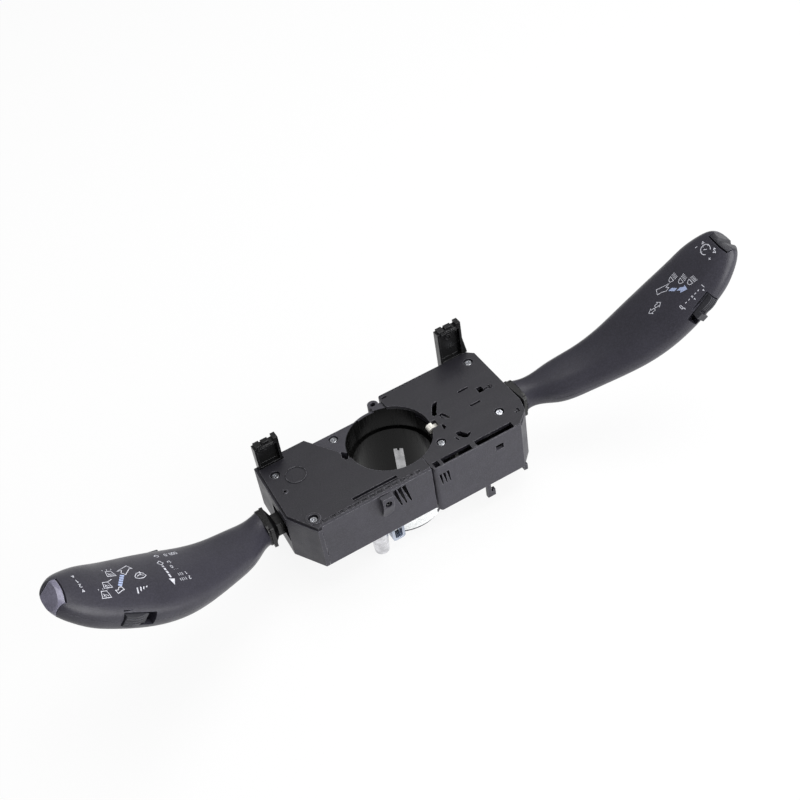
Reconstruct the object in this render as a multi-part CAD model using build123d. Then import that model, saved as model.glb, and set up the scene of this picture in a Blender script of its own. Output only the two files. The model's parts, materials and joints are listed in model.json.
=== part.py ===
from build123d import *
import math
import os

# Steering-column combination switch.  Millimetres.
# Origin: axis of the column bore, on the driver-side deck.  +Z points to the driver,
# +X to the turn-signal stalk, +Y to the side with the two latch posts.
# Everything on the wiper side that matches the turn side is built on +X and mirrored.

# ---------------------------------------------------------------- driving dimensions
# column sleeve
BORE_R = 22.5                 # upper bore, clears the steering-wheel hub
LEDGE_DEPTH = 15.5            # depth of the ledge where the bore narrows
COLUMN_R = 21.2               # lower bore, slides on the column tube
SLEEVE_WALL = 1.8
# housings
WALL = 2.0
COVER_T = 2.0
CASE_DEPTH = 29.0             # carrier and wiper unit
TURN_DROP = 2.7               # turn unit reaches lower by this
TURN_CASE_DEPTH = CASE_DEPTH + TURN_DROP
SLEEVE_OUT = 15.9             # sleeve stands out below the turn unit
SLEEVE_DEPTH = TURN_CASE_DEPTH + SLEEVE_OUT
FRONT_Y = -31.7               # outer face of the carrier apron
TURN_FRONT_Y = -32.9          # outer face of the turn unit
SEAM_X = 6.6                  # where apron and turn unit meet
CORNER_SEAM_X = -56.5         # where apron and wiper unit meet
END_X = 68.4                  # outer face of both end walls
REAR_Y = 29.6                 # rear of the turn unit
WIPER_REAR_Y = 25.2           # rear of the wiper unit
DECK_REAR_Y = 21.5            # rear edge of the carrier deck
DECK_DROP = 1.0               # carrier deck lies this far below the covers
SEAM = 0.15                   # gap between neighbouring mouldings
APRON_T = 1.6
# stalk joints
PIVOT_X = 50.0                # swing pin, parallel to the column
PIVOT_Y = -5.0
DIP_X = 60.0                  # dip pin, across the stalk
NECK_Z = -13.6
NECK_W = 8.4
NECK_H = 8.0
PIN_R = 2.0
RUN_GAP = 0.06                # radial clearance of a pin in its hole
TURN_SWING = 12.0
WIPER_SWING = 14.0
DIP_SWING = 6.0
TURN_ROOT_X = 76.0            # where the stalks' shells start
WIPER_ROOT_X = 77.6
FLANGE_W = 18.4               # flared flange that closes off the window
FLANGE_H = 13.4
FLANGE_T = 1.8
FLANGE_TURN = 5.0             # the flange leans with the stalk
FLARE_L = 2.2
GROOVE_R = 0.5                # two grooves along the root block
TURN_FLANGE_X = 73.3
WIPER_FLANGE_X = 74.9
# stalks
ROOT_Y = -3.4                 # middle of the stalk's root
TURN_BEND = (139.7, -28.8, -1.1)     # control points of the curved centre lines, both on +X
TURN_TIP = (184.2, -37.1, 58.6)
WIPER_BEND = (132.7, -32.9, -0.8)
WIPER_TIP = (185.2, -40.2, 54.8)
STATION_STEP = 0.188          # widths and thicknesses stand at these shares of the stalk
TURN_WIDTHS = (18.2, 24.5, 30.3, 36.8, 36.3, 30.4)
WIPER_WIDTHS = (18.2, 24.4, 32.5, 39.2, 36.3, 29.1)
THICKS = (14.0, 15.0, 16.2, 18.5, 18.5, 15.7)
ROOT_W = TURN_WIDTHS[0]
ROOT_H = THICKS[0]
PADDLE_H = max(THICKS)
FULLNESS = 0.75               # how far each quarter of a section keeps to its box
TURN_RIDGE = (0.62, 0.80)     # soft ridge between face and -Y flank, as shares of half the section
WIPER_RIDGE = (0.80, 0.62)
RIDGE_LEAN = 33.0             # slope of the section on the ridge
ROOT_TURN = 0.22              # stretch in which the sections turn from the flange to the centre line
SECTION_COUNT = 12
LAST_ANGLE = 84.0             # sections crowd towards the tip as the sine of an even angle
SECTION_PLACES = [math.sin(math.radians(LAST_ANGLE * i / (SECTION_COUNT - 1))) for i in range(SECTION_COUNT)]
TIP_AT = SECTION_PLACES[-1]
CAP_AT = 0.88                 # start of the rounded cap, and the shares left at its end
CAP_W = 0.30
CAP_H = 0.50
SHELL_SEAM = 0.16

CONTROL_GAP = 0.4
CRUISE_AT = 0.775             # middle of the slider's window along the stalk
INTERVAL_AT = 0.74
CRUISE_TRAVEL = 3.6
INTERVAL_TRAVEL = 4.0
CRUISE_TAIL_RISE = 2.4        # the cruise slider's tail is a raised lug
INTERVAL_TAIL_RISE = -0.6     # the interval slider's tail lies sunk
SLIDER_LIFT = 0.8             # middle of the slider above the shell seam
SLIDER_L = 10.0
SLIDER_H = 5.6
SLIDER_DEPTH = 4.5
SLIDER_RISE = 0.8
GRIP_PITCH = 1.4              # fine ribs along the slider
GRIP_W = 0.5
GRIP_RISE = 0.25
SLIDER_CROWN_R = 13.0
TAIL_L = 2.6
FOOT_T = 1.3                  # flange that keeps the slider in
FOOT_OUT = 0.8
ROCKER_W = 12.6
ROCKER_SHIFT = -1.5           # the rocker sits nearer to the -Y flank
ROCKER_DEPTH = 6.4
ROCKER_SINK = 0.9             # room under the rocker
CROWN_DEPTH = 2.3             # part of the rocker that shows
STEM_H = 6.0
ROCKER_HINGE = 1.8            # hinge line above the rocker's foot
ROCKER_PIN_R = 1.0
ROCKER_PIN_L = 10.0
ROCKER_SWING = 4.0
DENT_R = 2.0                  # finger dent in the middle of the rocker
DENT_DEEP = 1.5
RESET_AT = 0.50
RESET_L = 12.0
RESET_H = 5.0
RESET_DEPTH = 3.0
RESET_RISE = 1.3
RESET_TRAVEL = 0.9
GUIDE_GAP = 0.12

SCREW_SHANK_R = 1.4
SCREW_HEAD_R = 2.1
SCREW_HEAD_T = 1.2
SCREW_SINK = 0.5              # head top below the cover
HEAD_ROOM = 0.5               # counterbore round the head
SCREW_L = 9.0
BOSS_R = 3.0
# details of the case
CORNER_CUT = 7.4              # chamfered front corners
END_SLANT = 2.2
REAR_CUT = 3.4
TURN_REAR_X = 9.8             # left end of the turn unit's rear wall
REAR_ROUND = 1.4
CORNER_R = 2.2                # rounded corner of the turn unit beside the apron
LIP_T = 0.7                   # front wall beside the turn cover
LATCH_DEPTH = 7.0             # latch pockets behind that wall
LATCH_BACK_Y = -28.3
LATCHES = [(8.2, 11.4), (13.1, 30.3), (33.1, 55.3)]
DIAGONAL_X = -36.8            # start of the wiper cover's diagonal edge
NOTCH_X = -25.8               # its end beside the bore
NOTCH_Y = 6.8
SIDE_NOTCH = [(-24.8, 7.4), (-21.8, 4.2), (-24.4, 0.1), (-26.5, 2.5)]     # skewed square beside the bore
COVER_INSET = 1.1
TURN_SCREWS = [(61.9, 22.4), (55.0, -18.6)]
SLEEVE_SCREW = (19.8, -18.8)
WIPER_SCREWS = [(-59.7, 12.9), (-57.4, -24.6)]
DECK_SCREW = (-23.6, 17.6)
REAR_BOSS = (5.3, 27.0)
LUG_X = -21.2                 # lug with the clamp screw
LUG_Z = -4.4
LUG_R = 3.1
LUG_OUT = 3.6                 # how far its top stands out; it runs out to nothing below
LUG_LOW = -16.0
LUG_GROOVE = 0.6              # groove between lug and apron, at the top
CLAMP_HEAD_R = 1.9
CLAMP_HEAD_T = 1.6
CLAMP_SINK = 1.2
CLAMP_R = 1.3
CLAMP_END_Y = -20.0
CLAMP_BOSS_R = 2.2            # its boss stays under the cover
VENT_COUNT = 3
CARRIER_VENT_X = -14.3
CARRIER_VENT_PITCH = 2.7
CARRIER_VENT_W = 2.3
CARRIER_VENT_L = 13.4
CARRIER_VENT_LEAN = 13.0
TURN_VENT_X = 10.4
TURN_VENT_PITCH = 2.2
TURN_VENT_W = 1.5
TURN_VENT_L = 8.0
TURN_VENT_Z = -9.4
TURN_VENT_LEAN = 7.0
STRIP_TOP = -CASE_DEPTH - 2.0
STRIP_ANGLE = 58.0
STRIP_W = 6.0
STRIP_T = 0.8
FINGER_Y = -5.5               # cancelling finger
FINGER_W = 4.0
FINGER_LOW = 4.4
FINGER_REACH = 19.3
FINGER_TRAVEL = 2.2
FINGER_SWEEP = 15.0
RIB_XS = (-16.0, -5.0)        # ribs inside the carrier
NOSE_R = 1.8
NOSE_TOP = -0.35
FRONT_WINDOW = (45.3, -8.0)   # latch window in the turn unit's front wall
FRONT_WINDOW_W = 4.6
FRONT_WINDOW_H = 3.7
HOOK_X = 35.4                 # cable hook under the front wall
HOOK_T = 2.2
HOOK_DROP = 7.2
SLIT_X = 48.3
SLIT_YS = (6.2, -6.1)
SLIT_L = 6.2
SLIT_W = 1.3
KEYHOLE = (55.8, -0.2)
KEYHOLE_W = 3.4
KEYHOLE_L = 5.4
RING_R = 1.4
COVER_WINDOWS = [
    [(29.9, 7.0), (33.3, 7.5), (28.7, 0.6), (28.4, -0.8), (26.4, -1.2), (25.8, 0.4)],
    [(28.7, -1.8), (30.5, -1.2), (31.9, -3.6), (32.9, -7.1), (30.3, -6.4), (28.6, -4.2)],
    [(26.0, -8.4), (27.0, -8.4), (27.7, -11.2), (25.6, -12.2)],
    [(28.9, -17.6), (31.3, -17.8), (33.6, -21.9), (35.4, -21.3),
     (35.2, -22.6), (32.4, -24.2), (30.4, -22.9), (28.9, -20.2)],
    [(26.8, -20.3), (27.6, -20.3), (28.3, -22.9), (27.4, -22.9)],
]
WINDOW_TONGUE = [(29.0, -2.9), (30.0, -2.3), (31.9, -6.4), (30.6, -6.2)]
TAB_SLOT = (12.4, 27.0)
TAB_SLOT_L = 2.8
DIMPLE_X = 18.4
DIMPLE_PITCH = 2.2
DIMPLE_COUNT = 9
POCKET = (62.6, -23.4)
POCKET_W = 2.8
POCKET_GROOVE = 1.2
POST_H = 22.6                 # turn-side latch post above the covers
POST_W = 14.4
POST_DEPTH = 4.2
POST_BRACE = 2.0              # gusset beside its foot
HEAD_T = 2.0
PANEL_T = 1.6
SIDE_T = 1.3
PANEL_RING_R = 1.9
RING_AT = 0.62
RING_OUT = 0.5
RING_WALL = 0.7
HEAD_TEETH = [               # start and end as shares of the width, drop, setback
    (0.08, 0.32, 0.4, 0.0),
    (0.37, 0.65, 0.0, 1.0),
    (0.82, 1.0, 0.0, 0.0),
]
NOSE_OUT = 0.9
WIPER_POST_H = 16.0
WIPER_POST_W = 13.6
# mechanism
DETENT_GAP = 0.3
PLUNGER_R = 2.0
TRACK_T = 2.0
TRACK_GAP = 0.2               # between the detent track and the wall behind it
TRACK_R = PIVOT_X + NOTCH_X - WALL - TRACK_T - TRACK_GAP    # distance of the track from the swing pin
TRACK_SPAN = 15.0
DETENT_R = 0.8
TRACK_HIGH = -9.5
DIP_PIN_R = 1.5
CHEEK_T = 2.0
CHEEK_GAP = 0.35
CHEEK_REACH = 3.2
CHEEK_H = 8.4
ARM_BACK = 9.0                # the plunger arm ends this far behind the track
ARM_W = 7.0
PLUNGER_L = 8.0
TURN_POST_X = 56.8
WIPER_POST_X = -57.7
WIPER_PLUG = (-47.5, 13.0)
PEEP_HOLE = (-60.7, -0.2)
PEEP_R = 0.8
LONG_SLOT = (-35.6, -10.2)
LONG_SLOT_Y = -25.6
TOOTH_X = -54.6
TOOTH_PITCH = 4.4
TOOTH_L = 3.0
TOOTH_COUNT = 13
TOOTH_Y = -28.0
TOOTH_W = 1.5
TOOTH_DEEP = 0.6
COLLAR_R = 24.8
COLLAR_LOW = 3.0 - SLEEVE_DEPTH
COLLAR_STEP = 6.0
COLLAR_STEP_ANGLE = -67.0
BRACKET_T = 1.5
EAR_X = -16.9                 # folded ear of the bracket, open toward -Y
EAR_W = 7.2
EAR_DROP = 10.4
EAR_D = 5.0
EAR_FOLD_R = 1.8
BARREL = (-25.6, -25.0)
BARREL_R = 4.8
BARREL_TIP_R = 3.8
BARREL_L = 16.0
TURN_BOARD = (33.0, 57.0, 6.0, 26.0)       # x and y limits
WIPER_BOARD = (-56.0, -38.5, 6.0, 21.0)
STAND_IN = 3.0
STAND_R = 1.6
CHIP_T = 1.4
CHIP_L = 8.0
BOARD_T = 1.6
BOARD_LIFT = 2.4
HUB_R = 5.0
HUB_H = 12.0
WINDOW_GAP = 0.8
RAIL_X = 32.0
RAIL_L = 8.0
RAIL_T = 1.2
RAIL_DROP = 3.6
RAIL_GAP = 0.2
DETENT_STEP = 6.0
POST_LEG = 14.0
# connectors
TURN_PLUG = (46.0, 16.5)
PLUG_L = 24.0
PLUG_W = 10.0
PLUG_WALL = 1.4
PLUG_DROP = 9.0
PIN_COUNT = 6
PIN_RECESS = 4.6
BLADE_W = 1.2
KEY_SLOT = 3.0


# ---------------------------------------------------------------- small helpers
def block(x0, x1, y0, y1, z0, z1):
    """Rectangular block between two corners."""
    box = Box(x1 - x0, y1 - y0, z1 - z0)
    return Pos((x0 + x1) / 2, (y0 + y1) / 2, (z0 + z1) / 2) * box


def prism(points, z0, z1):
    """Upright prism over a closed outline in plan."""
    face = make_face(Polyline(*points, close=True))
    return extrude(Pos(0, 0, z0) * face, z1 - z0)


def post(x, y, r, z0, z1):
    """Upright round post."""
    return Pos(x, y, (z0 + z1) / 2) * Cylinder(r, z1 - z0)


def rod_y(x, z, r, y0, y1):
    """Round rod along Y."""
    return Pos(x, (y0 + y1) / 2, z) * Rot(90, 0, 0) * Cylinder(r, y1 - y0)


def rod_x(y, z, r, x0, x1):
    """Round rod along X."""
    return Pos((x0 + x1) / 2, y, z) * Rot(0, 90, 0) * Cylinder(r, x1 - x0)


def mirrored(part):
    """The wiper side's copy of a part that was built on +X."""
    return mirror(part, about=Plane.YZ)


def save(name, *pieces):
    """Write one node, as one solid or a group of separate solids."""
    solids = []
    for piece in pieces:
        solids.extend(piece.solids())
    export_step(Compound(children=solids), "parts/" + name + ".step")


# ---------------------------------------------------------------- plan outlines
SLEEVE_R = BORE_R + SLEEVE_WALL
LOWER_SLEEVE_R = COLUMN_R + SLEEVE_WALL
NEST_R = SLEEVE_R + SEAM
TURN_LEFT_X = SEAM_X + SEAM
APRON_BACK_Y = FRONT_Y + APRON_T
DECK_END_X = TURN_REAR_X - SEAM
COLLAR_TOP = -max(CASE_DEPTH, TURN_CASE_DEPTH) - SEAM


def turn_outline(inset, front_inset):
    """Outline of the turn unit, pulled in all round, by its own amount at the front."""
    front = TURN_FRONT_Y + front_inset
    end = END_X - inset
    return [
        (TURN_LEFT_X + inset, front),
        (END_X - CORNER_CUT - END_SLANT - inset / 2, front),
        (end - END_SLANT, TURN_FRONT_Y + CORNER_CUT + inset / 2),
        (end, TURN_FRONT_Y + 2 * CORNER_CUT),
        (end, REAR_Y - REAR_CUT),
        (END_X - REAR_CUT, REAR_Y - inset),
        (TURN_REAR_X + inset, REAR_Y - inset),
        (TURN_REAR_X + inset, 0),
        (TURN_LEFT_X + inset, 0),
    ]


def wiper_outline(inset):
    """Outline of the wiper unit's case, which stands behind the carrier's apron."""
    end = -END_X + inset
    front = FRONT_Y + inset
    behind = APRON_BACK_Y + SEAM
    return [
        (DIAGONAL_X - inset / 2, WIPER_REAR_Y - inset),
        (end + END_SLANT, WIPER_REAR_Y - inset),
        (end, FRONT_Y + 2 * CORNER_CUT + END_SLANT),
        (end + CORNER_CUT + END_SLANT, front),
        (CORNER_SEAM_X - SEAM, front),
        (CORNER_SEAM_X - SEAM, behind + inset),
        (NOTCH_X - inset, behind + inset),
        (NOTCH_X - inset, NOTCH_Y - inset),
    ]


# ---------------------------------------------------------------- carrier
def carrier_plan(inset, top):
    """Hollow plan of the carrier between the two units."""
    left = NOTCH_X + SEAM + inset
    right = SEAM_X - WALL - inset
    slope = (WIPER_REAR_Y - NOTCH_Y) / (NOTCH_X - DIAGONAL_X)
    rear = DECK_REAR_Y - inset
    rear_left = left - (rear - NOTCH_Y) / slope
    return prism([
        (left, APRON_BACK_Y),
        (right, APRON_BACK_Y),
        (right, 0),
        (DECK_END_X, 0),
        (DECK_END_X, SLEEVE_R - WALL),
        (0, rear),
        (rear_left, rear),
        (left, NOTCH_Y),
    ], -CASE_DEPTH, top)


def clamp_lug():
    """Lug in front of the apron: full depth at the top and run out to the apron below."""
    front = FRONT_Y - LUG_OUT
    side = make_face(Polyline(
        (front, -SEAM),
        (APRON_BACK_Y, -SEAM),
        (APRON_BACK_Y, LUG_LOW),
        (FRONT_Y, LUG_LOW),
        (front, 1.5 * LUG_Z),
        close=True))
    wedge = Pos(LUG_X - LUG_R, 0, 0) * extrude(Plane.YZ * side, 2 * LUG_R)
    return wedge & (block(LUG_X - LUG_R, LUG_X + LUG_R, front, APRON_BACK_Y, LUG_LOW + LUG_R, 0)
                    + rod_y(LUG_X, LUG_LOW + LUG_R, LUG_R, front, APRON_BACK_Y))


def slanted_vent(x, y, z, width, length, lean):
    """Claw-shaped vent through a front wall: wide at the top and narrow at its foot."""
    claw = make_face(Polyline(
        (-width / 2, length / 2),
        (width / 2, length / 2),
        (width / 6, -length / 2),
        (-width / 6, -length / 2),
        close=True))
    return Pos(x, y, z) * Rot(0, -lean, 0) * Rot(90, 0, 0) * extrude(claw, 2 * WALL, both=True)


def carrier_housing():
    under_cover = -COVER_T - SEAM
    body = carrier_plan(0, under_cover)
    body -= carrier_plan(WALL, under_cover - WALL)
    body += carrier_plan(0, -DECK_DROP) & block(-END_X, END_X, 0, END_X, under_cover - 0.5, 0)
    body += block(CORNER_SEAM_X, SEAM_X - 0.5, FRONT_Y, APRON_BACK_Y, -CASE_DEPTH, 0)
    for x in RIB_XS:
        body += block(x, x + WALL, APRON_BACK_Y - 0.5, 0, WALL - CASE_DEPTH, under_cover - WALL)
    body += post(0, 0, SLEEVE_R, COLLAR_TOP + 2 * SEAM, under_cover)
    body += post(0, 0, LOWER_SLEEVE_R, -SLEEVE_DEPTH, -CASE_DEPTH)
    # round screw boss behind the sleeve, with the wall that fills up to the turn unit
    x, y = REAR_BOSS
    boss_low = -CASE_DEPTH / 2
    body += post(x, y, BOSS_R, boss_low, -DECK_DROP)
    body += block(x - WALL, DECK_END_X, SLEEVE_R - 3 * WALL, y - 1, boss_low, -DECK_DROP)
    body -= post(x, y, SCREW_SHANK_R + RUN_GAP, boss_low + WALL, 0)
    # deck screw boss
    x, y = DECK_SCREW
    body += post(x, y, BOSS_R, -SCREW_L - COVER_T - WALL, -DECK_DROP)
    body -= screw_hole(x, y, -DECK_DROP)
    # the stepped bore
    body -= post(0, 0, BORE_R, -LEDGE_DEPTH, 1)
    body -= post(0, 0, COLUMN_R, -SLEEVE_DEPTH - 1, 0)
    body -= earth_strip(RUN_GAP, -SLEEVE_DEPTH - 1)
    # window for the cancelling finger, open at the rim, and a notch beside the bore
    body -= block(BORE_R - 4, SLEEVE_R + 1, FINGER_Y - FINGER_W, FINGER_Y + FINGER_SWEEP, -FINGER_LOW - 1, 1)
    body -= prism(SIDE_NOTCH, -LATCH_DEPTH, 1)
    body += clamp_lug()
    boss = rod_y(LUG_X, LUG_Z, CLAMP_BOSS_R, APRON_BACK_Y - 0.5, CLAMP_END_Y)
    body += boss - post(0, 0, SLEEVE_R - 0.5, -CASE_DEPTH, 0)
    body -= rod_y(LUG_X, LUG_Z, CLAMP_HEAD_R + RUN_GAP, FRONT_Y - LUG_OUT - 1, FRONT_Y)
    body -= rod_y(LUG_X, LUG_Z, CLAMP_R + RUN_GAP, FRONT_Y - 1, CLAMP_END_Y + 0.5)
    body -= block(LUG_X - LUG_R - 1, LUG_X + LUG_R, FRONT_Y - LUG_GROOVE, FRONT_Y, -2 * LUG_GROOVE, 0)
    for i in range(VENT_COUNT):
        x = CARRIER_VENT_X + i * CARRIER_VENT_PITCH
        z = -CARRIER_VENT_L / 2 - DECK_DROP
        body -= slanted_vent(x, FRONT_Y, z, CARRIER_VENT_W, CARRIER_VENT_L, CARRIER_VENT_LEAN)
    return body


def earth_strip(gap, low):
    """Broad spring strip that lies in a groove of the lower sleeve."""
    half = STRIP_W / 2 + gap
    inner = math.sqrt(COLUMN_R ** 2 - half ** 2) if gap else COLUMN_R
    strip = block(inner + RUN_GAP, COLUMN_R + STRIP_T + gap, -half, half, low, STRIP_TOP + gap)
    if not gap:
        strip -= Pos(COLUMN_R, 0, STRIP_TOP) * Box(4 * STRIP_T, STRIP_W / 5, STRIP_W / 2)
    return Rot(0, 0, STRIP_ANGLE) * strip


def screw_hole(x, y, top):
    """Counterbore and core hole of one thread-forming screw."""
    hole = post(x, y, SCREW_HEAD_R + HEAD_ROOM, top - SCREW_SINK - SCREW_HEAD_T, top + 2)
    return hole + post(x, y, SCREW_SHANK_R + RUN_GAP, top - SCREW_L - 2, top)


def screw(x, y, top):
    """Cross-recess screw, head uppermost."""
    head_top = top - SCREW_SINK
    under = head_top - SCREW_HEAD_T
    body = post(x, y, SCREW_HEAD_R, under, head_top)
    body = chamfer(body.edges().filter_by(GeomType.CIRCLE).group_by(Axis.Z)[-1], 0.4)
    body += post(x, y, SCREW_SHANK_R, under - SCREW_L + 2, under)
    for turn in (45, 135):
        slot = Box(1.2 * SCREW_HEAD_R, 0.3 * SCREW_HEAD_R, SCREW_HEAD_T)
        body -= Pos(x, y, head_top) * Rot(0, 0, turn) * slot
    return body


# ---------------------------------------------------------------- turn unit
def window(side):
    """Opening in an end wall, as large as the stalk's neck sweeps."""
    swing = math.radians(TURN_SWING if side > 0 else WIPER_SWING)
    half_w = NECK_W / 2 / math.cos(swing) + (END_X - PIVOT_X) * math.tan(swing) + WINDOW_GAP
    half_h = NECK_H / 2 + (END_X - DIP_X) * math.tan(math.radians(DIP_SWING)) + WINDOW_GAP
    x0 = END_X - 2 * WALL
    hole = block(x0, END_X + 1, PIVOT_Y - half_w, PIVOT_Y + half_w, NECK_Z - half_h, NECK_Z + half_h)
    return hole if side > 0 else mirrored(hole)


def turn_plan(front_inset, z0, z1):
    """Prism over the turn unit's outline, rounded at the apron and at the rear."""
    face = make_face(Polyline(*turn_outline(0, front_inset), close=True))
    corners = face.vertices()
    front = corners.sort_by_distance((TURN_LEFT_X, TURN_FRONT_Y, 0))[0]
    rear = corners.sort_by_distance((TURN_REAR_X, REAR_Y, 0))[0]
    face = fillet(front, CORNER_R - front_inset)
    face = fillet(face.vertices().sort_by_distance(rear.center())[0], REAR_ROUND)
    return extrude(Pos(0, 0, z0) * face, z1 - z0)


def turn_housing():
    low = -TURN_CASE_DEPTH
    floor = low + WALL
    outer = turn_plan(0, low, 0)
    body = outer & block(-END_X, END_X, -END_X, END_X, low, -COVER_T)
    inside = prism(turn_outline(WALL, WALL), floor, 0)
    body -= inside - post(0, 0, NEST_R + WALL, floor, 0)
    # thin front lip that covers the edge of the cover
    lip_end = END_X - CORNER_CUT - END_SLANT
    body += outer & block(TURN_LEFT_X, lip_end, TURN_FRONT_Y, TURN_FRONT_Y + LIP_T, -COVER_T, 0)
    for x0, x1 in LATCHES:
        body -= block(x0, x1, TURN_FRONT_Y + LIP_T, LATCH_BACK_Y, -LATCH_DEPTH, 0)
    for x, y in TURN_SCREWS + [SLEEVE_SCREW]:
        body += post(x, y, BOSS_R, floor, -COVER_T)
        body -= post(x, y, SCREW_SHANK_R + RUN_GAP, -COVER_T - SCREW_L - 2, 0)
    body -= post(0, 0, NEST_R, low - 1, 1)
    body -= window(1)
    half = FINGER_W / 2 + RAIL_GAP + RAIL_T + 0.3
    body -= block(BORE_R - 2, RAIL_X, FINGER_Y - half, FINGER_Y + half, -COVER_T - RAIL_DROP - 0.4, 0)
    # seat of the swing pin
    body += post(PIVOT_X, PIVOT_Y, PIN_R + WALL, floor, floor + 2 * WALL)
    body -= post(PIVOT_X, PIVOT_Y, PIN_R, floor, 0)
    # opening for the connector
    x, y = TURN_PLUG
    body -= block(x - PLUG_L / 2, x + PLUG_L / 2, y - PLUG_W / 2, y + PLUG_W / 2, low - 1, floor + 1)
    # vents and a square latch window in the front wall, and its rounded lower corner
    for i in range(VENT_COUNT):
        x = TURN_VENT_X + i * TURN_VENT_PITCH
        body -= slanted_vent(x, TURN_FRONT_Y, TURN_VENT_Z, TURN_VENT_W, TURN_VENT_L, TURN_VENT_LEAN)
    x, z = FRONT_WINDOW
    body -= Pos(x, TURN_FRONT_Y, z) * Box(FRONT_WINDOW_W, 3 * WALL, FRONT_WINDOW_H)
    centre_x = TURN_LEFT_X + CORNER_R
    corner = block(TURN_LEFT_X - 1, centre_x, TURN_FRONT_Y - 1, APRON_BACK_Y, low - 1, low + CORNER_R)
    body -= corner - rod_y(centre_x, low + CORNER_R, CORNER_R, TURN_FRONT_Y - 2, 0)
    # hook for a cable and a pointed corner fin, both under the front wall
    front = TURN_FRONT_Y + SEAM
    back = TURN_FRONT_Y + HOOK_T
    right = HOOK_X + 2.1 * HOOK_T
    bend = low - HOOK_DROP
    body += block(HOOK_X, HOOK_X + HOOK_T, front, back, bend, low)
    body += block(HOOK_X, right, front, back, bend - HOOK_T, bend + 1)
    body += block(HOOK_X + 1.5 * HOOK_T, right, front, back, bend, bend + HOOK_T)
    return body + block(lip_end, lip_end + END_SLANT, TURN_FRONT_Y + LIP_T, back + LIP_T, low - 2 * WALL, low)


def turn_cover():
    body = turn_plan(LIP_T + SEAM, -COVER_T, 0)
    body -= post(0, 0, BORE_R, -COVER_T - 1, 1)
    half = FINGER_W / 2 + CONTROL_GAP
    body -= block(BORE_R - 2, SLEEVE_R + 1, FINGER_Y - half, FINGER_Y + half, -COVER_T - 1, 1)
    for x, y in TURN_SCREWS + [SLEEVE_SCREW]:
        body -= screw_hole(x, y, 0)
    for x0, x1 in LATCHES:
        body -= block(x0, x1, TURN_FRONT_Y, LATCH_BACK_Y, -COVER_T - 1, 1)
    # two slits, and a keyhole that ends in a ring
    for y in SLIT_YS:
        body -= Pos(SLIT_X, y) * Box(SLIT_L, SLIT_W, 3 * COVER_T)
    x, y = KEYHOLE
    body -= Pos(x, y + KEYHOLE_W / 3) * Box(KEYHOLE_W, 1.2 * KEYHOLE_W, 3 * COVER_T)
    body -= block(x, x + KEYHOLE_L, y - KEYHOLE_W / 5, y + KEYHOLE_W / 5, -COVER_T / 2, 1)
    ring = post(x + KEYHOLE_L, y, RING_R, -COVER_T / 2, 1) - post(x + KEYHOLE_L, y, RING_R / 2, -COVER_T, 1)
    body -= ring
    # moulded windows over the switch levers, and a slot in the tab behind the bore
    for outline in COVER_WINDOWS:
        body -= prism(outline, -COVER_T - 1, 1)
    body += prism(WINDOW_TONGUE, -COVER_T, -COVER_T / 4)
    x, y = TAB_SLOT
    body -= Pos(x, y) * Box(TAB_SLOT_L, SLIT_W, 3 * COVER_T)
    # latch dimples along the rear edge and a small open box by the front screw
    for i in range(DIMPLE_COUNT):
        body -= Pos(DIMPLE_X + i * DIMPLE_PITCH, REAR_Y - 0.7) * Box(DIMPLE_PITCH / 2, 0.7, COVER_T)
    inner = POCKET_W - POCKET_GROOVE
    groove = Box(POCKET_W, POCKET_W, COVER_T)
    groove -= Pos(-POCKET_GROOVE / 2, POCKET_GROOVE / 2) * Box(inner, inner, 3 * COVER_T)
    body -= Pos(*POCKET) * groove
    # hooked rails that carry the finger's arm
    for side in (-1, 1):
        y = FINGER_Y + side * (FINGER_W / 2 + RAIL_GAP + RAIL_T / 2)
        body += Pos(RAIL_X, y, -COVER_T - RAIL_DROP / 2) * Box(RAIL_L, RAIL_T, RAIL_DROP)
        lip = Box(RAIL_L, RAIL_T, 1.0)
        body += Pos(RAIL_X, y - side * RAIL_T / 2, -COVER_T - RAIL_DROP + 0.5) * lip
    return body


def cancel_finger():
    """Sprung finger: a rounded nose in the bore on an arm under the cover."""
    arm_top = -COVER_T - RAIL_GAP
    arm_low = -COVER_T - RAIL_DROP + 1.0 + RAIL_GAP
    y0 = FINGER_Y - FINGER_W / 2
    y1 = FINGER_Y + FINGER_W / 2
    nose_end = SLEEVE_R + 1 - FINGER_TRAVEL - CONTROL_GAP
    body = block(FINGER_REACH + 2, RAIL_X + RAIL_L / 2 + 2, y0, y1, arm_low, arm_top)
    nose = block(FINGER_REACH + NOSE_R, nose_end, y0, y1, arm_low, NOSE_TOP)
    tip = rod_y(FINGER_REACH + NOSE_R, (arm_low + NOSE_TOP) / 2, NOSE_R, y0, y1)
    return body + nose + (tip & block(FINGER_REACH, nose_end, y0, y1, arm_low, NOSE_TOP))


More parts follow.
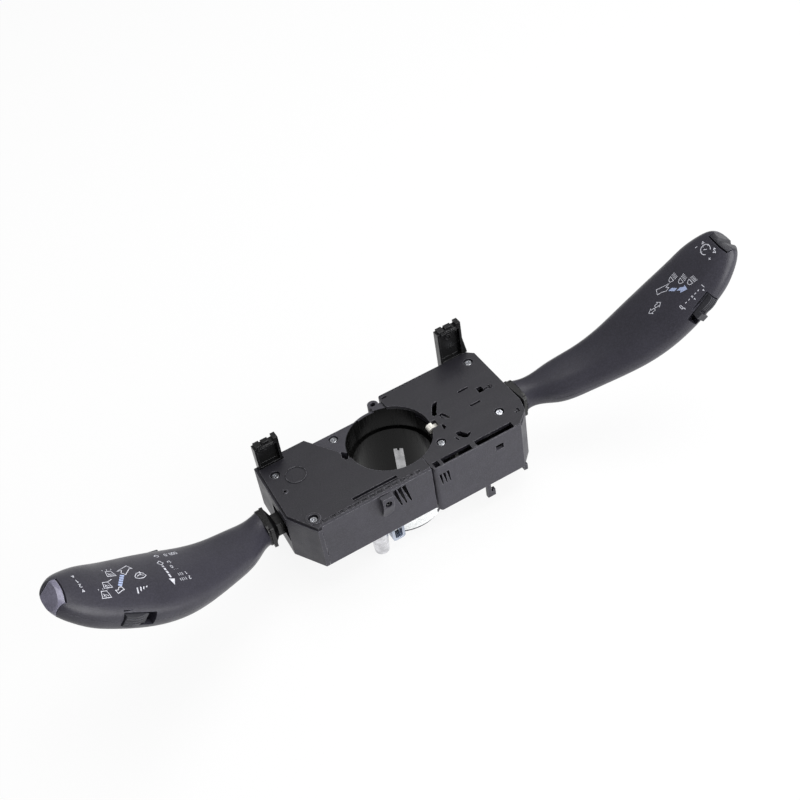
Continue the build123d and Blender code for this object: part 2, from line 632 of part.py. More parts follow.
def latch_post(width, height, depth, brace):
    """Upright channel with a stepped latch head; its open side faces -Y."""
    half = width / 2
    panel = depth - PANEL_T
    body = block(-half, half, 0, depth, -POST_LEG, height - HEAD_T)
    body -= block(SIDE_T - half, half - SIDE_T, -1, panel, 0.8, height - 1.8 * HEAD_T)
    # ring and stud moulded on the panel
    z = RING_AT * height
    ring = rod_y(0, z, PANEL_RING_R, panel - RING_OUT, panel + 0.5)
    body += ring - rod_y(0, z, PANEL_RING_R - RING_WALL, 0, panel)
    body += rod_y(0, z, PANEL_RING_R / 3, panel - RING_OUT, panel + 0.5)
    # head: three teeth and a nose that points to -Y
    for x0, x1, drop, back in HEAD_TEETH:
        body += block(x0 * width - half, x1 * width - half, back / 2, depth - back,
                      height - HEAD_T, height - drop * HEAD_T)
    left = 1.6 * SIDE_T - half
    right = half - 2.4 * SIDE_T
    body += block(left, right, -NOSE_OUT, 0.5, height - 1.7 * HEAD_T, height - 1.1 * HEAD_T)
    if brace:
        web = make_face(Polyline((half, 0), (half + brace, 0), (half, height / 2), close=True))
        body += Pos(0, PANEL_T, 0) * extrude(Plane.XZ * web, PANEL_T)
    return body


def connector(x, y, floor):
    """Shrouded plug socket that opens downward."""
    low = floor - PLUG_DROP
    body = block(x - PLUG_L / 2, x + PLUG_L / 2, y - PLUG_W / 2, y + PLUG_W / 2, low, floor + WALL)
    inner_l = PLUG_L / 2 - PLUG_WALL
    inner_w = PLUG_W / 2 - PLUG_WALL
    body -= block(x - inner_l, x + inner_l, y - inner_w, y + inner_w, low - 1, floor)
    body -= block(x - KEY_SLOT / 2, x + KEY_SLOT / 2, y + inner_w - 1, y + PLUG_W, low - 1, low + KEY_SLOT)
    return body


def connector_pins(x, y, floor):
    """Flat contact blades in a row."""
    pins = []
    pitch = (PLUG_L - 2 * PLUG_WALL) / PIN_COUNT
    for i in range(PIN_COUNT):
        px = x - pitch * (PIN_COUNT - 1) / 2 + i * pitch
        pins.append(block(px - BLADE_W / 3, px + BLADE_W / 3, y - BLADE_W / 2, y + BLADE_W / 2,
                          floor - PLUG_DROP + PIN_RECESS, floor))
    return pins


def board(x0, x1, y0, y1, floor):
    """Circuit board on three stand-offs, with a few low components."""
    z = floor + WALL + BOARD_LIFT
    body = block(x0, x1, y0, y1, z, z + BOARD_T)
    near = y0 + STAND_IN
    for x, y in ((x0 + STAND_IN, near), (x1 - STAND_IN, near), ((x0 + x1) / 2, y1 - STAND_IN)):
        body += post(x, y, STAND_R, floor + WALL, z)
    top = z + BOARD_T
    body += block(x0 + CHIP_L / 3, x0 + CHIP_L, near + CHIP_L / 2, near + CHIP_L, top, top + CHIP_T)
    return body + block(x1 - CHIP_L, x1 - CHIP_L / 3, near + CHIP_L / 2, near + CHIP_L, top, top + CHIP_T / 2)


def detent_track(floor):
    """Arc-shaped track with shallow rounded pockets, one per stalk position."""
    height = TRACK_HIGH - floor - WALL
    ring = Cylinder(TRACK_R + TRACK_T, height) - Cylinder(TRACK_R, height)
    ring &= Pos(-TRACK_R, 0, 0) * Box(2 * TRACK_R, TRACK_SPAN, height)
    for i in (-2, -1, 0, 1, 2):
        ring -= Rot(0, 0, 180 + i * DETENT_STEP) * Pos(TRACK_R, 0, 0) * Cylinder(DETENT_R, height)
    return Pos(PIVOT_X, PIVOT_Y, (TRACK_HIGH + floor + WALL) / 2) * ring


# ---------------------------------------------------------------- lever mechanism, on +X
def swing_pin(floor):
    return post(PIVOT_X, PIVOT_Y, PIN_R, floor + WALL, -COVER_T - 0.4)


def yoke():
    """Swings on the upright pin and carries the stalk's neck between two cheeks."""
    body = post(PIVOT_X, PIVOT_Y, HUB_R, NECK_Z - HUB_H / 2, NECK_Z + HUB_H / 2)
    inner = NECK_W / 2 + CHEEK_GAP
    end = DIP_X + CHEEK_REACH
    for side in (-1, 1):
        y = PIVOT_Y + side * (inner + CHEEK_T / 2)
        body += Pos((PIVOT_X + end) / 2, y, NECK_Z) * Box(end - PIVOT_X, CHEEK_T, CHEEK_H)
    body += Pos(PIVOT_X + HUB_R / 4, PIVOT_Y, NECK_Z) * Box(HUB_R / 2, 2 * inner + 2 * CHEEK_T, CHEEK_H)
    arm_end = PIVOT_X - TRACK_R + ARM_BACK
    body += Pos((arm_end + PIVOT_X) / 2, PIVOT_Y, NECK_Z) * Box(PIVOT_X - arm_end, ARM_W, ARM_W)
    body -= rod_x(PIVOT_Y, NECK_Z, PLUNGER_R + RUN_GAP, arm_end - 1, PIVOT_X - HUB_R - 0.2)
    body -= post(PIVOT_X, PIVOT_Y, PIN_R + RUN_GAP, NECK_Z - HUB_H, NECK_Z + HUB_H)
    return body - rod_y(DIP_X, NECK_Z, DIP_PIN_R, PIVOT_Y - END_X, PIVOT_Y + END_X)


def dip_pin():
    reach = NECK_W / 2 + CHEEK_GAP + CHEEK_T
    return rod_y(DIP_X, NECK_Z, DIP_PIN_R, PIVOT_Y - reach, PIVOT_Y + reach)


def plunger():
    """Spring plunger whose round nose rides on the track."""
    tip = PIVOT_X - TRACK_R + DETENT_GAP
    body = rod_x(PIVOT_Y, NECK_Z, PLUNGER_R, tip + PLUNGER_R, tip + PLUNGER_R + PLUNGER_L)
    return body + Pos(tip + PLUNGER_R, PIVOT_Y, NECK_Z) * Sphere(PLUNGER_R)


def stalk_neck(flange_x, root_x):
    """Square neck, flared into the leaning flange, and the block that carries the shells."""
    start = flange_x - FLANGE_T / 2 - FLARE_L
    body = block(PIVOT_X + HUB_R + 1.2, start + 1, PIVOT_Y - NECK_W / 2, PIVOT_Y + NECK_W / 2,
                 NECK_Z - NECK_H / 2, NECK_Z + NECK_H / 2)
    middle_y = (PIVOT_Y + ROOT_Y) / 2
    across = Plane(origin=(flange_x, middle_y, NECK_Z), x_dir=(0, 1, 0), z_dir=(1, 0, 0))
    lean = across * Rot(0, FLANGE_TURN, 0)
    square = Plane(origin=(start, PIVOT_Y, NECK_Z), x_dir=(0, 1, 0), z_dir=(1, 0, 0))
    small = square * RectangleRounded(NECK_W, NECK_H, 1.0)
    low = Pos(0, 0, -FLANGE_T / 2 - FLARE_L / 3)
    waist = lean * low * RectangleRounded(0.72 * FLANGE_W, 0.8 * FLANGE_H, 1.2)
    lip = lean * Pos(0, 0, -FLANGE_T / 2) * RectangleRounded(FLANGE_W - FLANGE_T, FLANGE_H - FLANGE_T, 1.4)
    body += loft([small, waist, lip], ruled=True)
    body += extrude(lean * Pos(0, 0, -FLANGE_T / 2) * RectangleRounded(FLANGE_W, FLANGE_H, 1.6), FLANGE_T)
    inset = 2 * SEAM
    core = block(flange_x, root_x, ROOT_Y - ROOT_W / 2 + inset, ROOT_Y + ROOT_W / 2 - inset,
                 NECK_Z - ROOT_H / 2 + inset, NECK_Z + ROOT_H / 2 - inset)
    body += fillet(core.edges().filter_by(Axis.X), ROOT_H / 4)
    groove_y = ROOT_Y - ROOT_W / 2 + inset
    for z in (NECK_Z - ROOT_H / 6, NECK_Z + ROOT_H / 6):
        body -= rod_x(groove_y, z, GROOVE_R, flange_x + FLANGE_W / 16 + FLANGE_T / 2, root_x + 1)
    body -= rod_y(DIP_X, NECK_Z, DIP_PIN_R + RUN_GAP, PIVOT_Y - NECK_W, PIVOT_Y + NECK_W)
    return body


# ---------------------------------------------------------------- stalk shape
def smooth(values, t):
    """Smooth curve through values that stand at even stations."""
    last = len(values) - 1
    u = min(t / STATION_STEP, last)
    i = min(int(u), last - 1)
    u -= i
    rise = values[i + 1] - values[i]
    slope = (values[i + 1] - values[max(0, i - 1)]) / (i + 1 - max(0, i - 1))
    next_slope = (values[min(last, i + 2)] - values[i]) / (min(last, i + 2) - i)
    return (values[i] + slope * u + (3 * rise - 2 * slope - next_slope) * u ** 2
            + (slope + next_slope - 2 * rise) * u ** 3)


class Stalk:
    """Curved paddle on +X: two shells along a centre line, with pockets for its controls."""

    def __init__(self, root_x, bend, tip, widths, ridge, slider_at, slider_travel, tail_rise):
        self.root = Vector(root_x, ROOT_Y, NECK_Z)
        self.bend = Vector(*bend)
        self.tip = Vector(*tip)
        self.widths = widths
        self.ridge = ridge
        self.slider_at = slider_at
        self.slider_travel = slider_travel
        self.tail_rise = tail_rise

    def frame(self, t):
        """Local frame at t from 0 to 1: x across the paddle to +Y, y to the driver, z along it."""
        centre = self.root * (1 - t) ** 2 + self.bend * (2 * t * (1 - t)) + self.tip * t ** 2
        along = ((self.bend - self.root) * (1 - t) + (self.tip - self.bend) * t).normalized()
        square = max(0.0, 1 - t / ROOT_TURN) ** 2
        along = (along * (1 - square) + Vector(1, 0, 0) * square).normalized()
        across = (Vector(0, 1, 0) - along * along.Y).normalized()
        return Plane(origin=centre, x_dir=across, z_dir=along)

    def size(self, t):
        """Width and thickness at t, rounded off past CAP_AT."""
        u = max(0.0, (t - CAP_AT) / (1 - CAP_AT))
        cap = 0.85 * math.sqrt(1 - u ** 2) + 0.15 * (1 - u)
        width = smooth(self.widths, t) * (CAP_W + (1 - CAP_W) * cap)
        thick = smooth(THICKS, t) * (CAP_H + (1 - CAP_H) * cap)
        return width, thick

    def arcs(self, t, side, gap):
        """Outline of half a section toward the driver (side 1) or away (-1), +x end first."""
        width, thick = self.size(t)
        x = width / 2
        foot = side * gap
        top = side * thick / 2
        bulge = foot + FULLNESS * (top - foot)
        outline = Bezier((x, foot), (x, bulge), (FULLNESS * x, top), (0, top))
        if side < 0:
            return outline + Bezier((0, top), (-FULLNESS * x, top), (-x, bulge), (-x, foot))
        ridge_x = self.ridge[0] * x
        ridge_y = self.ridge[1] * top
        run = x - ridge_x
        drop = run * math.tan(math.radians(RIDGE_LEAN))
        ridge = (-ridge_x, ridge_y)
        before = (-ridge_x + run / 3, ridge_y + drop / 3)
        after = (-ridge_x - run / 2, ridge_y - drop / 2)
        outline += Bezier((0, top), (-ridge_x / 2, top), before, ridge)
        return outline + Bezier(ridge, after, (-x, top / 3), (-x, foot))

    def half_section(self, t, side, gap):
        """Half a section, closed by a chord."""
        x = self.size(t)[0] / 2
        foot = side * gap
        return self.frame(t) * make_face(self.arcs(t, side, gap) + Line((-x, foot), (x, foot)))

    def whole_section(self, t):
        return self.frame(t) * make_face(self.arcs(t, 1, 0) + self.arcs(t, -1, 0))

    def half_blank(self, side, gap):
        """One half of the stalk, from the flange to the blunt tip."""
        return loft([self.half_section(t, side, gap) for t in SECTION_PLACES])

    def box(self, t, x0, x1, y0, y1, z0, z1):
        """Block in the local frame at t."""
        return self.frame(t) * block(x0, x1, y0, y1, z0, z1)

    def rocker_space(self, side_gap, sink):
        """Room of the rocker: a crown across the tip and a narrower stem between the shells."""
        low = ROCKER_SHIFT - ROCKER_W / 2 - side_gap
        high = ROCKER_SHIFT + ROCKER_W / 2 + side_gap
        stem = STEM_H / 2 + side_gap
        crown = self.box(TIP_AT, low, high, -PADDLE_H, PADDLE_H, -CROWN_DEPTH - sink, PADDLE_H)
        return crown + self.box(TIP_AT, low, high, -stem, stem, -ROCKER_DEPTH - sink, 0)

    def tip_rod(self, z, r, length):
        """Rod across the thickness of the tip."""
        return self.frame(TIP_AT) * Pos(ROCKER_SHIFT, 0, z) * Rot(90, 0, 0) * Cylinder(r, length)

    def rocker(self, dented):
        blank = loft([self.whole_section(t) for t in SECTION_PLACES])
        body = blank & self.rocker_space(0, 0)
        body -= self.tip_rod(ROCKER_HINGE - ROCKER_DEPTH, ROCKER_PIN_R + RUN_GAP, STEM_H + 1)
        if dented:
            body -= self.tip_rod(DENT_R - DENT_DEEP, DENT_R, 2 * PADDLE_H)
        return body

    def rocker_pin(self):
        return self.tip_rod(ROCKER_HINGE - ROCKER_DEPTH, ROCKER_PIN_R, ROCKER_PIN_L)

    def slider_block(self, rise, depth, start, end, widen):
        """Block across the slider's window, from a rise over the -Y flank to a depth in it."""
        edge = -self.size(self.slider_at)[0] / 2
        low = SLIDER_LIFT - SLIDER_H / 2 - widen
        high = SLIDER_LIFT + SLIDER_H / 2 + widen
        return self.box(self.slider_at, edge - rise, edge + depth, low, high, start, end)

    def slider_window(self):
        """Pocket for the slider, its tail and its travel, with an undercut for the foot."""
        half = (SLIDER_L + TAIL_L + self.slider_travel) / 2 + CONTROL_GAP
        body = self.slider_block(PADDLE_H, SLIDER_DEPTH + CONTROL_GAP, -half, half, CONTROL_GAP)
        top = FOOT_T + CONTROL_GAP - SLIDER_DEPTH
        return body + self.slider_block(top, SLIDER_DEPTH + CONTROL_GAP, -half, half, FOOT_OUT + CONTROL_GAP)

    def slider(self):
        """Crowned thumb slider at the tip end of its window, with a short tail behind it."""
        end = (SLIDER_L + TAIL_L + self.slider_travel) / 2
        start = end - SLIDER_L
        body = self.slider_block(SLIDER_RISE, SLIDER_DEPTH, start, end, 0)
        top = -self.size(self.slider_at)[0] / 2 - SLIDER_RISE
        crown = Pos(top + SLIDER_CROWN_R, SLIDER_LIFT, (start + end) / 2) * Rot(90, 0, 0)
        body &= self.frame(self.slider_at) * crown * Cylinder(SLIDER_CROWN_R, 2 * SLIDER_H)
        for i in (-1, 0, 1):
            lift = Pos(0, i * GRIP_PITCH, 0)
            rib = crown * Cylinder(SLIDER_CROWN_R + GRIP_RISE, GRIP_W)
            room = block(top - 1, top + SLIDER_DEPTH, SLIDER_LIFT - GRIP_W, SLIDER_LIFT + GRIP_W, start, end)
            body += self.frame(self.slider_at) * lift * (rib & room)
        body += self.slider_block(self.tail_rise, SLIDER_DEPTH, start - TAIL_L, start + TAIL_L / 3, 0)
        return body + self.slider_block(FOOT_T - SLIDER_DEPTH, SLIDER_DEPTH, start - TAIL_L, end, FOOT_OUT)

    def reset_block(self, rise, guide_gap, room):
        """Key in the +Y flank, or with gaps the guide it is pressed into."""
        edge = self.size(RESET_AT)[0] / 2
        half_l = RESET_L / 2 + guide_gap
        half_h = RESET_H / 2 + guide_gap
        return self.box(RESET_AT, edge - RESET_DEPTH - room, edge + rise, -half_h, half_h, -half_l, half_l)

    def shell(self, side, with_reset):
        """One moulded half, cut out for the controls."""
        body = self.half_blank(side, SHELL_SEAM / 2) - self.rocker_space(CONTROL_GAP, ROCKER_SINK)
        body -= self.rocker_pin()
        body -= self.slider_window()
        if with_reset:
            body -= self.reset_block(RESET_DEPTH, GUIDE_GAP, RESET_TRAVEL + CONTROL_GAP)
        return body


TURN_STALK = Stalk(TURN_ROOT_X, TURN_BEND, TURN_TIP, TURN_WIDTHS, TURN_RIDGE,
                   CRUISE_AT, CRUISE_TRAVEL, CRUISE_TAIL_RISE)
WIPER_STALK = Stalk(WIPER_ROOT_X, WIPER_BEND, WIPER_TIP, WIPER_WIDTHS, WIPER_RIDGE,
                    INTERVAL_AT, INTERVAL_TRAVEL, INTERVAL_TAIL_RISE)


# ---------------------------------------------------------------- wiper unit
def wiper_housing():
    floor = -CASE_DEPTH + WALL
    body = prism(wiper_outline(0), -CASE_DEPTH, -COVER_T)
    body -= prism(wiper_outline(WALL), floor, 0)
    body += block(WIPER_POST_X - WIPER_POST_W / 2, WIPER_POST_X + WIPER_POST_W / 2,
                  WIPER_REAR_Y - POST_DEPTH, WIPER_REAR_Y, -CASE_DEPTH, -COVER_T)
    for x, y in WIPER_SCREWS:
        body += post(x, y, BOSS_R, floor, -COVER_T)
        body -= post(x, y, SCREW_SHANK_R + RUN_GAP, -COVER_T - SCREW_L - 2, 0)
    body -= window(-1)
    body += post(-PIVOT_X, PIVOT_Y, PIN_R + WALL, floor, floor + 4)
    body -= post(-PIVOT_X, PIVOT_Y, PIN_R, floor, 0)
    x, y = WIPER_PLUG
    body -= block(x - PLUG_L / 2, x + PLUG_L / 2, y - PLUG_W / 2, y + PLUG_W / 2, -CASE_DEPTH - 1, floor + 1)
    return body


def wiper_cover():
    post_x = WIPER_POST_X + WIPER_POST_W / 2 + CONTROL_GAP
    post_y = WIPER_REAR_Y - POST_DEPTH - CONTROL_GAP
    front = FRONT_Y + COVER_INSET / 2
    body = prism([
        (DIAGONAL_X, WIPER_REAR_Y),
        (post_x, WIPER_REAR_Y),
        (post_x, post_y),
        (-END_X + COVER_INSET + END_SLANT, post_y),
        (-END_X + COVER_INSET, FRONT_Y + 2 * CORNER_CUT + END_SLANT),
        (-END_X + CORNER_CUT + END_SLANT + COVER_INSET / 2, front),
        (CORNER_SEAM_X - SEAM, front),
        (CORNER_SEAM_X - SEAM, APRON_BACK_Y + SEAM),
        (SEAM_X - SEAM, APRON_BACK_Y + SEAM),
        (SEAM_X - SEAM, 0),
        (NOTCH_X, 0),
        (NOTCH_X, NOTCH_Y),
    ], -COVER_T, 0)
    body -= post(0, 0, BORE_R, -COVER_T - 1, 1)
    body -= prism(SIDE_NOTCH, -COVER_T - 1, 1)
    for x, y in WIPER_SCREWS:
        body -= screw_hole(x, y, 0)
    # raised rings round the front screw and round a small hole
    x, y = WIPER_SCREWS[1]
    body += post(x, y, BOSS_R + 0.8, -0.5, RING_OUT) - post(x, y, SCREW_HEAD_R + HEAD_ROOM, -1, 1)
    x, y = PEEP_HOLE
    body += post(x, y, 2 * PEEP_R, -0.5, RING_OUT / 2)
    body -= post(x, y, PEEP_R, -COVER_T - 1, 1)
    # long slot with a rib in it
    x0, x1 = LONG_SLOT
    body -= block(x0, x1, LONG_SLOT_Y - 1.35, LONG_SLOT_Y + 1.35, -COVER_T - 1, 1)
    body += block(x0, x1, LONG_SLOT_Y - 0.5, LONG_SLOT_Y, -COVER_T, -0.3)
    # shallow latch recesses along the front edge
    for i in range(TOOTH_COUNT):
        x = TOOTH_X + i * TOOTH_PITCH
        body -= block(x, x + TOOTH_L, TOOTH_Y - TOOTH_W, TOOTH_Y, -TOOTH_DEEP, 1)
    return body


# ---------------------------------------------------------------- under the carrier
def guide_collar():
    """Off-white collar round the lower sleeve, with a step in its rim."""
    body = post(0, 0, COLLAR_R, COLLAR_LOW, COLLAR_TOP)
    body -= post(0, 0, LOWER_SLEEVE_R + RUN_GAP, -SLEEVE_DEPTH - 1, 0)
    step = Pos(COLLAR_R, COLLAR_R / 2, COLLAR_LOW) * Box(COLLAR_R, COLLAR_R, COLLAR_STEP)
    return body - Rot(0, 0, COLLAR_STEP_ANGLE) * step


def clamp_screw():
    """Socket-head screw sunk in the lug."""
    front = FRONT_Y - LUG_OUT + CLAMP_SINK
    head = rod_y(LUG_X, LUG_Z, CLAMP_HEAD_R, front, FRONT_Y)
    hexagon = extrude(RegularPolygon(0.6 * CLAMP_HEAD_R, 6), CLAMP_HEAD_T, both=True)
    socket = Pos(LUG_X, front, LUG_Z) * Rot(90, 0, 0) * hexagon
    return head - socket + rod_y(LUG_X, LUG_Z, CLAMP_R, FRONT_Y, CLAMP_END_Y)


def clamp_bracket():
    """Folded steel bracket under the carrier: a plate and an ear that is bent into a U."""
    top = -CASE_DEPTH
    x0 = BARREL[0] - 1.5 * BARREL_R
    x1 = EAR_X + 1.5 * EAR_W / 2
    y0 = APRON_BACK_Y + SEAM
    back = BARREL[1] + BARREL_R
    plate = prism([
        (x0, y0),
        (x1, y0),
        (x1, y0 + EAR_D),
        (BARREL[0] + BARREL_R, back),
        (x0, back),
    ], top - BRACKET_T, top)
    left = EAR_X - EAR_W / 2
    right = EAR_X + EAR_W / 2
    low = top - EAR_DROP
    outer = block(left, right, y0, y0 + EAR_D, low, top - BRACKET_T / 2)
    low_edges = outer.edges().filter_by(Axis.Y).group_by(Axis.Z)[0]
    outer = fillet(low_edges, EAR_FOLD_R)
    wall = BRACKET_T
    inner = block(left + wall, right - wall, y0 - 1, y0 + EAR_D + 1, low + wall, top - wall)
    low_edges = inner.edges().filter_by(Axis.Y).group_by(Axis.Z)[0]
    return plate + (outer - fillet(low_edges, EAR_FOLD_R - BRACKET_T / 2))


def locating_barrel():
    """Turned, tapered barrel that hangs from the bracket."""
    x, y = BARREL
    top = -CASE_DEPTH - BRACKET_T
    body = Pos(x, y, top - BARREL_L / 2) * Rot(180, 0, 0) * Cone(BARREL_R, BARREL_TIP_R, BARREL_L)
    return chamfer(body.edges().filter_by(GeomType.CIRCLE).group_by(Axis.Z)[0], 0.6)


# ---------------------------------------------------------------- write the nodes
def main():
    os.makedirs("parts", exist_ok=True)
    save("carrier_housing", carrier_housing())
    save("turn_unit_housing", turn_housing())
    save("wiper_unit_housing", wiper_housing())
    save("turn_unit_cover", turn_cover())
    save("wiper_unit_cover", wiper_cover())
    save("cover_screws", *[screw(x, y, 0) for x, y in TURN_SCREWS + [SLEEVE_SCREW] + WIPER_SCREWS])
    save("deck_screw", screw(*DECK_SCREW, -DECK_DROP))
    save("turn_latch_post", Pos(TURN_POST_X, REAR_Y, 0) * latch_post(POST_W, POST_H, POST_DEPTH, POST_BRACE))
    wiper_post = latch_post(WIPER_POST_W, WIPER_POST_H, POST_DEPTH, 0)
    wiper_post &= block(-POST_W, POST_W, -POST_W, POST_W, -COVER_T, POST_H)
    save("wiper_latch_post", Pos(WIPER_POST_X, WIPER_REAR_Y - POST_DEPTH, 0) * wiper_post)
    save("column_guide_collar", guide_collar())
    save("earth_strip", earth_strip(0, -SLEEVE_DEPTH - STRIP_T))
    save("clamp_screw", clamp_screw())
    save("clamp_bracket", clamp_bracket())
    save("locating_barrel", locating_barrel())
    save("cancel_finger", cancel_finger())

    turn_floor = -TURN_CASE_DEPTH
    save("turn_connector", connector(*TURN_PLUG, turn_floor))
    save("turn_connector_pins", *connector_pins(*TURN_PLUG, turn_floor))
    save("turn_circuit_board", board(*TURN_BOARD, turn_floor))
    save("turn_detent_track", detent_track(turn_floor))
    save("turn_swing_pin", swing_pin(turn_floor))
    save("turn_yoke", yoke())
    save("turn_dip_pin", dip_pin())
    save("turn_plunger", plunger())
    save("turn_stalk_neck", stalk_neck(TURN_FLANGE_X, TURN_ROOT_X))
    save("turn_stalk_front", TURN_STALK.shell(1, False))
    save("turn_stalk_rear", TURN_STALK.shell(-1, False))
    save("cruise_slider", TURN_STALK.slider())
    save("set_rocker", TURN_STALK.rocker(True))
    save("set_rocker_pin", TURN_STALK.rocker_pin())

    floor = -CASE_DEPTH
    save("wiper_connector", connector(*WIPER_PLUG, floor))
    save("wiper_connector_pins", *connector_pins(*WIPER_PLUG, floor))
    save("wiper_circuit_board", board(*WIPER_BOARD, floor))
    save("wiper_detent_track", mirrored(detent_track(floor)))
    save("wiper_swing_pin", mirrored(swing_pin(floor)))
    save("wiper_yoke", mirrored(yoke()))
    save("wiper_dip_pin", mirrored(dip_pin()))
    save("wiper_plunger", mirrored(plunger()))
    save("wiper_stalk_neck", mirrored(stalk_neck(WIPER_FLANGE_X, WIPER_ROOT_X)))
    save("wiper_stalk_front", mirrored(WIPER_STALK.shell(1, True)))
    save("wiper_stalk_rear", mirrored(WIPER_STALK.shell(-1, True)))
    save("interval_slider", mirrored(WIPER_STALK.slider()))
    save("trip_rocker", mirrored(WIPER_STALK.rocker(False)))
    save("trip_rocker_pin", mirrored(WIPER_STALK.rocker_pin()))
    save("reset_key", mirrored(WIPER_STALK.reset_block(RESET_RISE, 0, 0)))


main()
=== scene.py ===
# %% [markdown]
# # A steering column's combination switch
# The housing sits round the column and carries two stalks, one for the turn signals and one for the wipers.
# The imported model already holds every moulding, pin and screw in its place. This lesson adds what a model
# lacks: the printed marks, the finishes, a floor, the light and a camera.

import json
import math

import bmesh
import bpy
from mathutils import Euler, Matrix, Vector
from mathutils.bvhtree import BVHTree


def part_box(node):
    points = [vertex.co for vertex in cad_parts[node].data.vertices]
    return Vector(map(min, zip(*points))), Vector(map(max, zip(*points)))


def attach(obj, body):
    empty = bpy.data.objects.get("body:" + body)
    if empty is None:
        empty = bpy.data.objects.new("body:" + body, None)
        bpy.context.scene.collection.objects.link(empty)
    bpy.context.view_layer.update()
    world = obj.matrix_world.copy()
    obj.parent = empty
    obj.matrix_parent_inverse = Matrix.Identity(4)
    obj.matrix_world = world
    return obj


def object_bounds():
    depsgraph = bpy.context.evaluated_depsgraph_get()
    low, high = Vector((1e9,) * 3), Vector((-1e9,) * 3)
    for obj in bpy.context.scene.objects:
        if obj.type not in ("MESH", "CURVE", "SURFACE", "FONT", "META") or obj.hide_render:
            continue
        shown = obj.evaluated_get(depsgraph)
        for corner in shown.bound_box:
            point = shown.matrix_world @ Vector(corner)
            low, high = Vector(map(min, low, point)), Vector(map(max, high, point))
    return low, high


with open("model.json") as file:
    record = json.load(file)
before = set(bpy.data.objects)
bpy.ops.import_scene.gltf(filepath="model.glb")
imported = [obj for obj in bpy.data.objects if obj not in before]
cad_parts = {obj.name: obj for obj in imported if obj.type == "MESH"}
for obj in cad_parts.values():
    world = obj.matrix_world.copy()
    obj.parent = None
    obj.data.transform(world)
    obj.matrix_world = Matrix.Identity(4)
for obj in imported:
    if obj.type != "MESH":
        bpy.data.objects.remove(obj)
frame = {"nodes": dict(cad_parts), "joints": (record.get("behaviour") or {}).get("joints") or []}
nodes = frame["nodes"]
joints = {joint["name"]: joint for joint in frame["joints"]}
size_at_load = [list(corner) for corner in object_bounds()]
print(len(nodes), "nodes,", len(joints), "joints, box", size_at_load)


# %% [markdown]
# ## A drawing plane over each stalk
# The stalks are curved shells, yet their printed marks are easiest to place on a flat drawing. So each stalk
# gets a plane with millimetres along and across it, taken from the joints of its slider and its tip rocker.
# A point of the drawing is dropped on the shell along the plane's normal.

# %% The plane that the marks are drawn in
METRE = 1000               # millimetres in a metre
MIDDLE_SHIFT = 1.5         # from the tip rocker's joint to the middle of the tip, in millimetres
INK_LIFT = 0.02            # how far the ink stands off the shell, in millimetres
DROP_HEIGHT = 0.03         # where a falling point starts over the drawing, in metres
DROP_REACH = 0.06


class PrintPlane:
    """A drawing plane over one stalk, in millimetres from the middle of its tip: u runs outward, v across."""

    def __init__(self, tip_joint, slide_joint, shell_name):
        self.along = -Vector(joints[slide_joint]["axis"]).normalized()
        side = Vector((0.0, 1.0, 0.0))
        self.across = (side - self.along * self.along.dot(side)).normalized()
        self.hand = 1.0 if self.along.cross(self.across).z > 0 else -1.0
        self.out = self.along.cross(self.across) * self.hand
        self.origin = Vector(joints[tip_joint]["pos_m"]) + self.across * MIDDLE_SHIFT / METRE
        shell = nodes[shell_name].data
        corners = [corner.co.copy() for corner in shell.vertices]
        faces = [list(face.vertices) for face in shell.polygons]
        self.shell = BVHTree.FromPolygons(corners, faces)

    def drop(self, u, v):
        """The point of the shell under a point of the drawing, or None beside the shell."""
        high = self.origin + (self.along * u + self.across * v) / METRE + self.out * DROP_HEIGHT
        spot = self.shell.ray_cast(high, -self.out, DROP_REACH)[0]
        return spot + self.out * INK_LIFT / METRE if spot else None


turn_plane = PrintPlane("set_rock", "cruise_slide", "turn_stalk_front")
wiper_plane = PrintPlane("trip_rock", "interval_slide", "wiper_stalk_front")
for plane in (turn_plane, wiper_plane):
    print("marks start from", [round(c, 4) for c in plane.origin], "and read with hand", plane.hand)


# %% [markdown]
# ## Writing a material as arithmetic
# A finish is worked out at every point of a surface: how dark, how rough, how bumpy. Blender does this with
# nodes, which are tedious to link by hand. So one function adds any node, and `Value` wraps one output of a
# node, so that adding or multiplying two of them adds the Math node that does it.

# %% Nodes, and numbers that vary over a surface
def plug(tree, slot, term):
    """Link a value or a socket to an input, or set the input to a plain number or colour."""
    if isinstance(term, Value):
        tree.links.new(term.socket, slot)
    elif isinstance(term, bpy.types.NodeSocket):
        tree.links.new(term, slot)
    else:
        slot.default_value = term


def add_node(tree, kind, settings=None, inputs=None):
    """Add a node: its type, its settings, and then what each input gets, by the input's name or number."""
    node = tree.nodes.new(kind)
    for name, value in (settings or {}).items():
        setattr(node, name, value)
    for slot, term in (inputs or {}).items():
        plug(tree, node.inputs[slot], term)
    return node


class Value:
    """A number that varies over a surface, as the output socket that carries it."""

    def __init__(self, tree, socket):
        self.tree = tree
        self.socket = socket

    def math(self, operation, first, second):
        node = add_node(self.tree, "ShaderNodeMath", {"operation": operation}, {0: first, 1: second})
        return Value(self.tree, node.outputs[0])

    def __add__(self, other):
        return self.math("ADD", self, other)

    def __sub__(self, other):
        return self.math("SUBTRACT", self, other)

    def __rsub__(self, other):
        return self.math("SUBTRACT", other, self)

    def __mul__(self, other):
        return self.math("MULTIPLY", self, other)

    __radd__ = __add__
    __rmul__ = __mul__

    def larger(self, other):
        return self.math("MAXIMUM", self, other)

    def ramp(self, low, high):
        """0 below low, 1 above high, a smooth step between them. With low above high it falls instead."""
        settings = {"interpolation_type": "SMOOTHSTEP"}
        inputs = {"Value": self, "From Min": low, "From Max": high}
        node = add_node(self.tree, "ShaderNodeMapRange", settings, inputs)
        return Value(self.tree, node.outputs["Result"])


